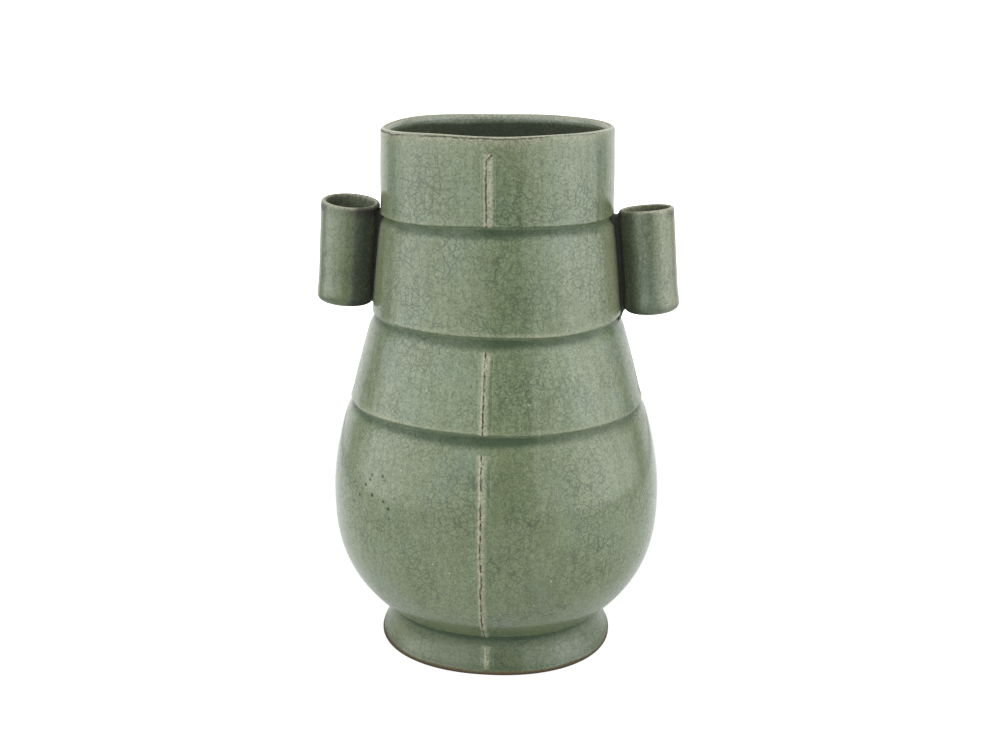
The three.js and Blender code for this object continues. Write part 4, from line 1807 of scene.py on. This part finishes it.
@dataclass
class Studio:
    """White round sweep, a pale table, a tent of soft walls of light and the camera at the photo's angle."""

    image_width: int = 1000
    focal_pixels: float = 1169.83
    sensor: float = 36.0
    elevation: float = 0.3230
    azimuth: float = 0.0860
    roll: float = 0.0047
    distance: float = 0.62216
    aim_side: float = 0.00172
    aim_height: float = 0.14896
    tent_tone: Colour = (0.96, 1.0, 0.98)
    tent_radius: float = 2.3
    round_columns: int = 96
    centre_hole: float = 0.001
    sweep_rings: tuple[float, ...] = (0.001, 0.1, 0.3, 0.8, 1.6)
    sweep_reach: float = 2.8
    sweep_bend: float = 0.8
    sweep_bend_rows: int = 16
    sweep_height: float = 6.0
    sweep_grey: float = 0.82
    sweep_glow: float = 1.04
    sweep_roughness: float = 0.95
    table_radius: float = 0.42
    table_thickness: float = 0.004
    table_grey: float = 0.72
    table_roughness: float = 0.9
    fibre_scale: float = 900.0
    fibre_tone: float = 0.02
    ceiling_height: float = 3.0
    ceiling_width: float = 3.6
    ceiling_glow: float = 0.90
    surroundings: float = 0.45

    def camera(self) -> None:
        """Places the camera on a sphere round the aim point, rolled a little, and makes it the scene's."""
        cos_e, sin_e = math.cos(self.elevation), math.sin(self.elevation)
        cos_a, sin_a = math.cos(self.azimuth), math.sin(self.azimuth)
        back = Vector((sin_a * cos_e, -cos_a * cos_e, sin_e))
        right = Vector((cos_a, sin_a, 0.0))
        up = back.cross(right)
        turned = right * math.cos(self.roll) + up * math.sin(self.roll)
        upright = up * math.cos(self.roll) - right * math.sin(self.roll)
        data = bpy.data.cameras.new("camera")
        data.sensor_width = self.sensor
        data.lens = self.sensor * self.focal_pixels / self.image_width
        made = bpy.data.objects.new("camera", data)
        place = right * self.aim_side + Vector((0.0, 0.0, self.aim_height)) + back * self.distance
        made.matrix_world = Matrix.Translation(place) @ Matrix((turned, upright, back)).transposed().to_4x4()
        bpy.context.scene.collection.objects.link(made)
        bpy.context.scene.camera = made

    def turned_profile(self, radius: np.ndarray, z: np.ndarray) -> np.ndarray:
        """Profile turned round the vase.

        Args:
            radius: distance of each row from the vase's axis.
            z: height of each row.

        Returns:
            The points, a row for each point of the profile.
        """
        angle = round_angles(self.round_columns)
        x, y = radius[:, None] * np.cos(angle), radius[:, None] * np.sin(angle)
        return np.stack([x, y, np.broadcast_to(z[:, None], x.shape)], axis=-1)

    def paper(self, name: str, grey: float, roughness: float) -> ShaderGraph:
        """Pale paper with a fine noise of fibres.

        Args:
            name: name of the new material.
            grey: middle tone.
            roughness: roughness of its face.

        Returns:
            The graph of the material.
        """
        graph = ShaderGraph(name)
        tones = [(grey + step,) * 3 for step in (-self.fibre_tone, self.fibre_tone)]
        graph.feed(graph.shader.inputs["Base Color"], graph.mix(graph.noise(self.fibre_scale), *tones))
        graph.shader.inputs["Roughness"].default_value = roughness
        return graph

    def sweep(self) -> None:
        """Makes the round floor that curves up into a backdrop outside the tent.

        It is one profile turned round the vase: a disc, a quarter round and an upright wall. It glows white,
        and only the camera sees it, so that the glaze mirrors the tent alone.
        """
        rise, run = corner(self.sweep_bend_rows)
        flat, end = np.zeros(len(self.sweep_rings)), self.sweep_reach + self.sweep_bend
        radius = np.concatenate([self.sweep_rings, end - self.sweep_bend * run, [end]])
        z = np.concatenate([flat, self.sweep_bend * rise, [self.sweep_height]])
        floor = Surface(self.turned_profile(radius, z)[:, ::-1], closed_rows=False).piece("sweep")
        graph = self.paper("paper", self.sweep_grey, self.sweep_roughness)
        graph.feed(graph.shader.inputs["Emission Color"], (1.0, 1.0, 1.0))
        graph.shader.inputs["Emission Strength"].default_value = self.sweep_glow
        floor.data.materials.append(graph.material)
        floor.visible_diffuse = False
        floor.visible_glossy = False
        floor.visible_transmission = False
        floor.visible_shadow = False

    def table(self) -> None:
        """Makes the round pale table top that the glaze mirrors, unseen by the camera."""
        radius = np.array([self.centre_hole, self.table_radius, self.table_radius, self.centre_hole])
        z = np.array([-self.table_thickness, -self.table_thickness, 0.0, 0.0])
        made = Surface(self.turned_profile(radius, z), closed_rows=False).piece("table")
        made.data.materials.append(self.paper("table_paper", self.table_grey, self.table_roughness).material)
        made.visible_camera = False

    def light(self, name: str, size: Span, radiance: float, matrix: Matrix) -> None:
        """Adds a rectangular light of even brightness that the camera can't see.

        Args:
            name: name of the light.
            size: width and height in metres.
            radiance: brightness of its face.
            matrix: its place; it shines along its own -Z.
        """
        data = bpy.data.lights.new(name, "AREA")
        data.shape = "RECTANGLE"
        data.size, data.size_y = size
        data.energy = radiance * math.pi * size[0] * size[1]
        data.color = self.tent_tone
        made = bpy.data.objects.new(name, data)
        made.matrix_world = matrix
        made.visible_camera = False
        bpy.context.scene.collection.objects.link(made)

    def tent(self) -> None:
        """Stands the walls on chords of the tent's circle, facing the vase, under a ceiling of light."""
        upright = Vector((0.0, 0.0, 1.0))
        for wall in LIGHT_WALLS:
            ends = [math.radians(bearing) for bearing in (wall.start, wall.end)]
            first, last = (Vector((math.sin(turn), -math.cos(turn), 0.0)) * self.tent_radius for turn in ends)
            middle = (first + last) / 2.0
            outward = middle.normalized()
            turned = Matrix((upright.cross(outward), upright, outward)).transposed().to_4x4()
            raised = Matrix.Translation(middle + upright * (wall.low + wall.high) / 2.0)
            size = ((last - first).length, wall.high - wall.low)
            self.light(wall.name, size, wall.radiance, raised @ turned)
        over = Matrix.Translation((0.0, 0.0, self.ceiling_height))
        self.light("ceiling", (self.ceiling_width, self.ceiling_width), self.ceiling_glow, over)

    def build(self) -> None:
        """Makes the camera, the sweep, the table, the tent of light and the dim surroundings."""
        self.camera()
        self.sweep()
        self.table()
        self.tent()
        world = bpy.data.worlds.new("surroundings")
        world.use_nodes = True
        background = world.node_tree.nodes["Background"].inputs
        background["Color"].default_value = (1.0, 1.0, 1.0, 1.0)
        background["Strength"].default_value = self.surroundings
        bpy.context.scene.world = world
        bpy.context.scene.view_settings.view_transform = "Standard"
        LOG.info("studio: camera, sweep and a tent of %d walls of light", len(LIGHT_WALLS))


class Glaze(Enum):
    """Glazes by the names of their materials."""

    CELADON = "celadon_glaze"
    LUG = "lug_glaze"
    FOOT = "foot_glaze"
    POOLED = "pooled_glaze"
    CREASE = "crease_glaze"
    RIB = "rib_clay"


GLAZES = {
    Glaze.CELADON: CrackleGlaze(iron_and_shade=(0.035, 0.029, 0.021)),
    # Its dark colours also tint the painted shade towards the neck.
    Glaze.LUG: CrackleGlaze(
        light=(0.145, 0.182, 0.108),
        dark=(0.072, 0.098, 0.047),
        pooled=(0.022, 0.045, 0.030),
        iron_and_shade=(0.032, 0.028, 0.026),
        coat_roughness=0.19,
    ),
    Glaze.FOOT: CrackleGlaze(light=(0.112, 0.142, 0.074), dark=(0.058, 0.084, 0.038)),
    Glaze.POOLED: CrackleGlaze(crackle=0.30),
    # Colours of the painted shade in the crease between lug and neck.
    Glaze.CREASE: CrackleGlaze(pooled=(0.026, 0.036, 0.026), iron_and_shade=(0.032, 0.030, 0.023), crackle=0.30),
    Glaze.RIB: CrackleGlaze(),
}
RIB_SIZES = {
    "mouth": {"furrow_at": -0.0006, "band_at": 0.0014, "band_half": 0.0013, "hook": 0.0022, "blank": -0.0020},
    "shoulder": {"furrow_at": -0.0009, "band_at": 0.0001, "slant": 0.0005, "blank": 0.0030},
    "belly": {
        "furrow_at": -0.0012, "band_at": 0.0004, "band_half": 0.0018, "band_strength": 0.58, "blank": 0.0055,
    },
    "foot": {
        "furrow_at": -0.0002, "band_at": 0.0, "band_half": 0.0012, "band_strength": 0.5,
        "furrow_strength": 0.2, "blank": 0.0016,
    },
}
LEFT_LUG = TubeLug(
    Side.LEFT, SEED + 60, mouth_tilt=0.08, taper=0.0010, radius=0.0150, stand_off=0.0,
    top_rise=0.0041, bottom_rise=0.0031, rust=0.85,
)
RIGHT_LUG = TubeLug(
    Side.RIGHT, SEED + 61, mouth_tilt=-0.045, taper=0.0002, radius=0.0143, stand_off=-0.0002,
    top_rise=0.0034, bottom_rise=0.0027, pale=0.22, shade_at=0.46, shade=0.76,
)
LUTINGS = (LugLuting(LEFT_LUG, tail=0.0032), LugLuting(RIGHT_LUG, tail=0.0058))


def main() -> None:
    """Builds the studio and every piece of the vase in order."""
    logging.basicConfig(level=logging.INFO, format="%(name)s: %(message)s")
    Studio().build()
    glaze = {kind: finish.material(kind.value) for kind, finish in GLAZES.items()}
    foot = FootRing("foot_ring", SEED + 1, FOOT_JOINT, None)
    belly = BellyWall("belly_wall", SEED + 2, BELLY_JOINT, FOOT_JOINT)
    shoulder = WallSection("shoulder_band", SEED + 3, NECK_JOINT, BELLY_JOINT)
    neck = NeckBand("neck_band", SEED + 4, COLLAR_JOINT, NECK_JOINT)
    collar = MouthCollar("mouth_collar", SEED + 5, None, COLLAR_JOINT)
    foot.build(glaze[Glaze.FOOT])
    BaseSlab().build(glaze[Glaze.CELADON])
    for section in (belly, shoulder, neck, collar):
        section.build(glaze[Glaze.CELADON])
    for joint, lower in zip(JOINTS, (foot, belly, shoulder, neck)):
        JointSeam(joint, lower).build(glaze[Glaze.FOOT if joint is FOOT_JOINT else Glaze.POOLED])
    for face in Face:
        seed = SEED + 30 + 10 * face.value
        for section, (name, sizes) in zip((collar, shoulder, belly, foot), RIB_SIZES.items()):
            Rib(f"{name}_rib_{face.name.lower()}", section, face, seed, **sizes).build(glaze[Glaze.RIB])
            seed += 1
    for luting in LUTINGS:
        luting.lug.build(glaze[Glaze.LUG])
        luting.build(glaze[Glaze.CREASE])


if __name__ == "__main__":
    main()
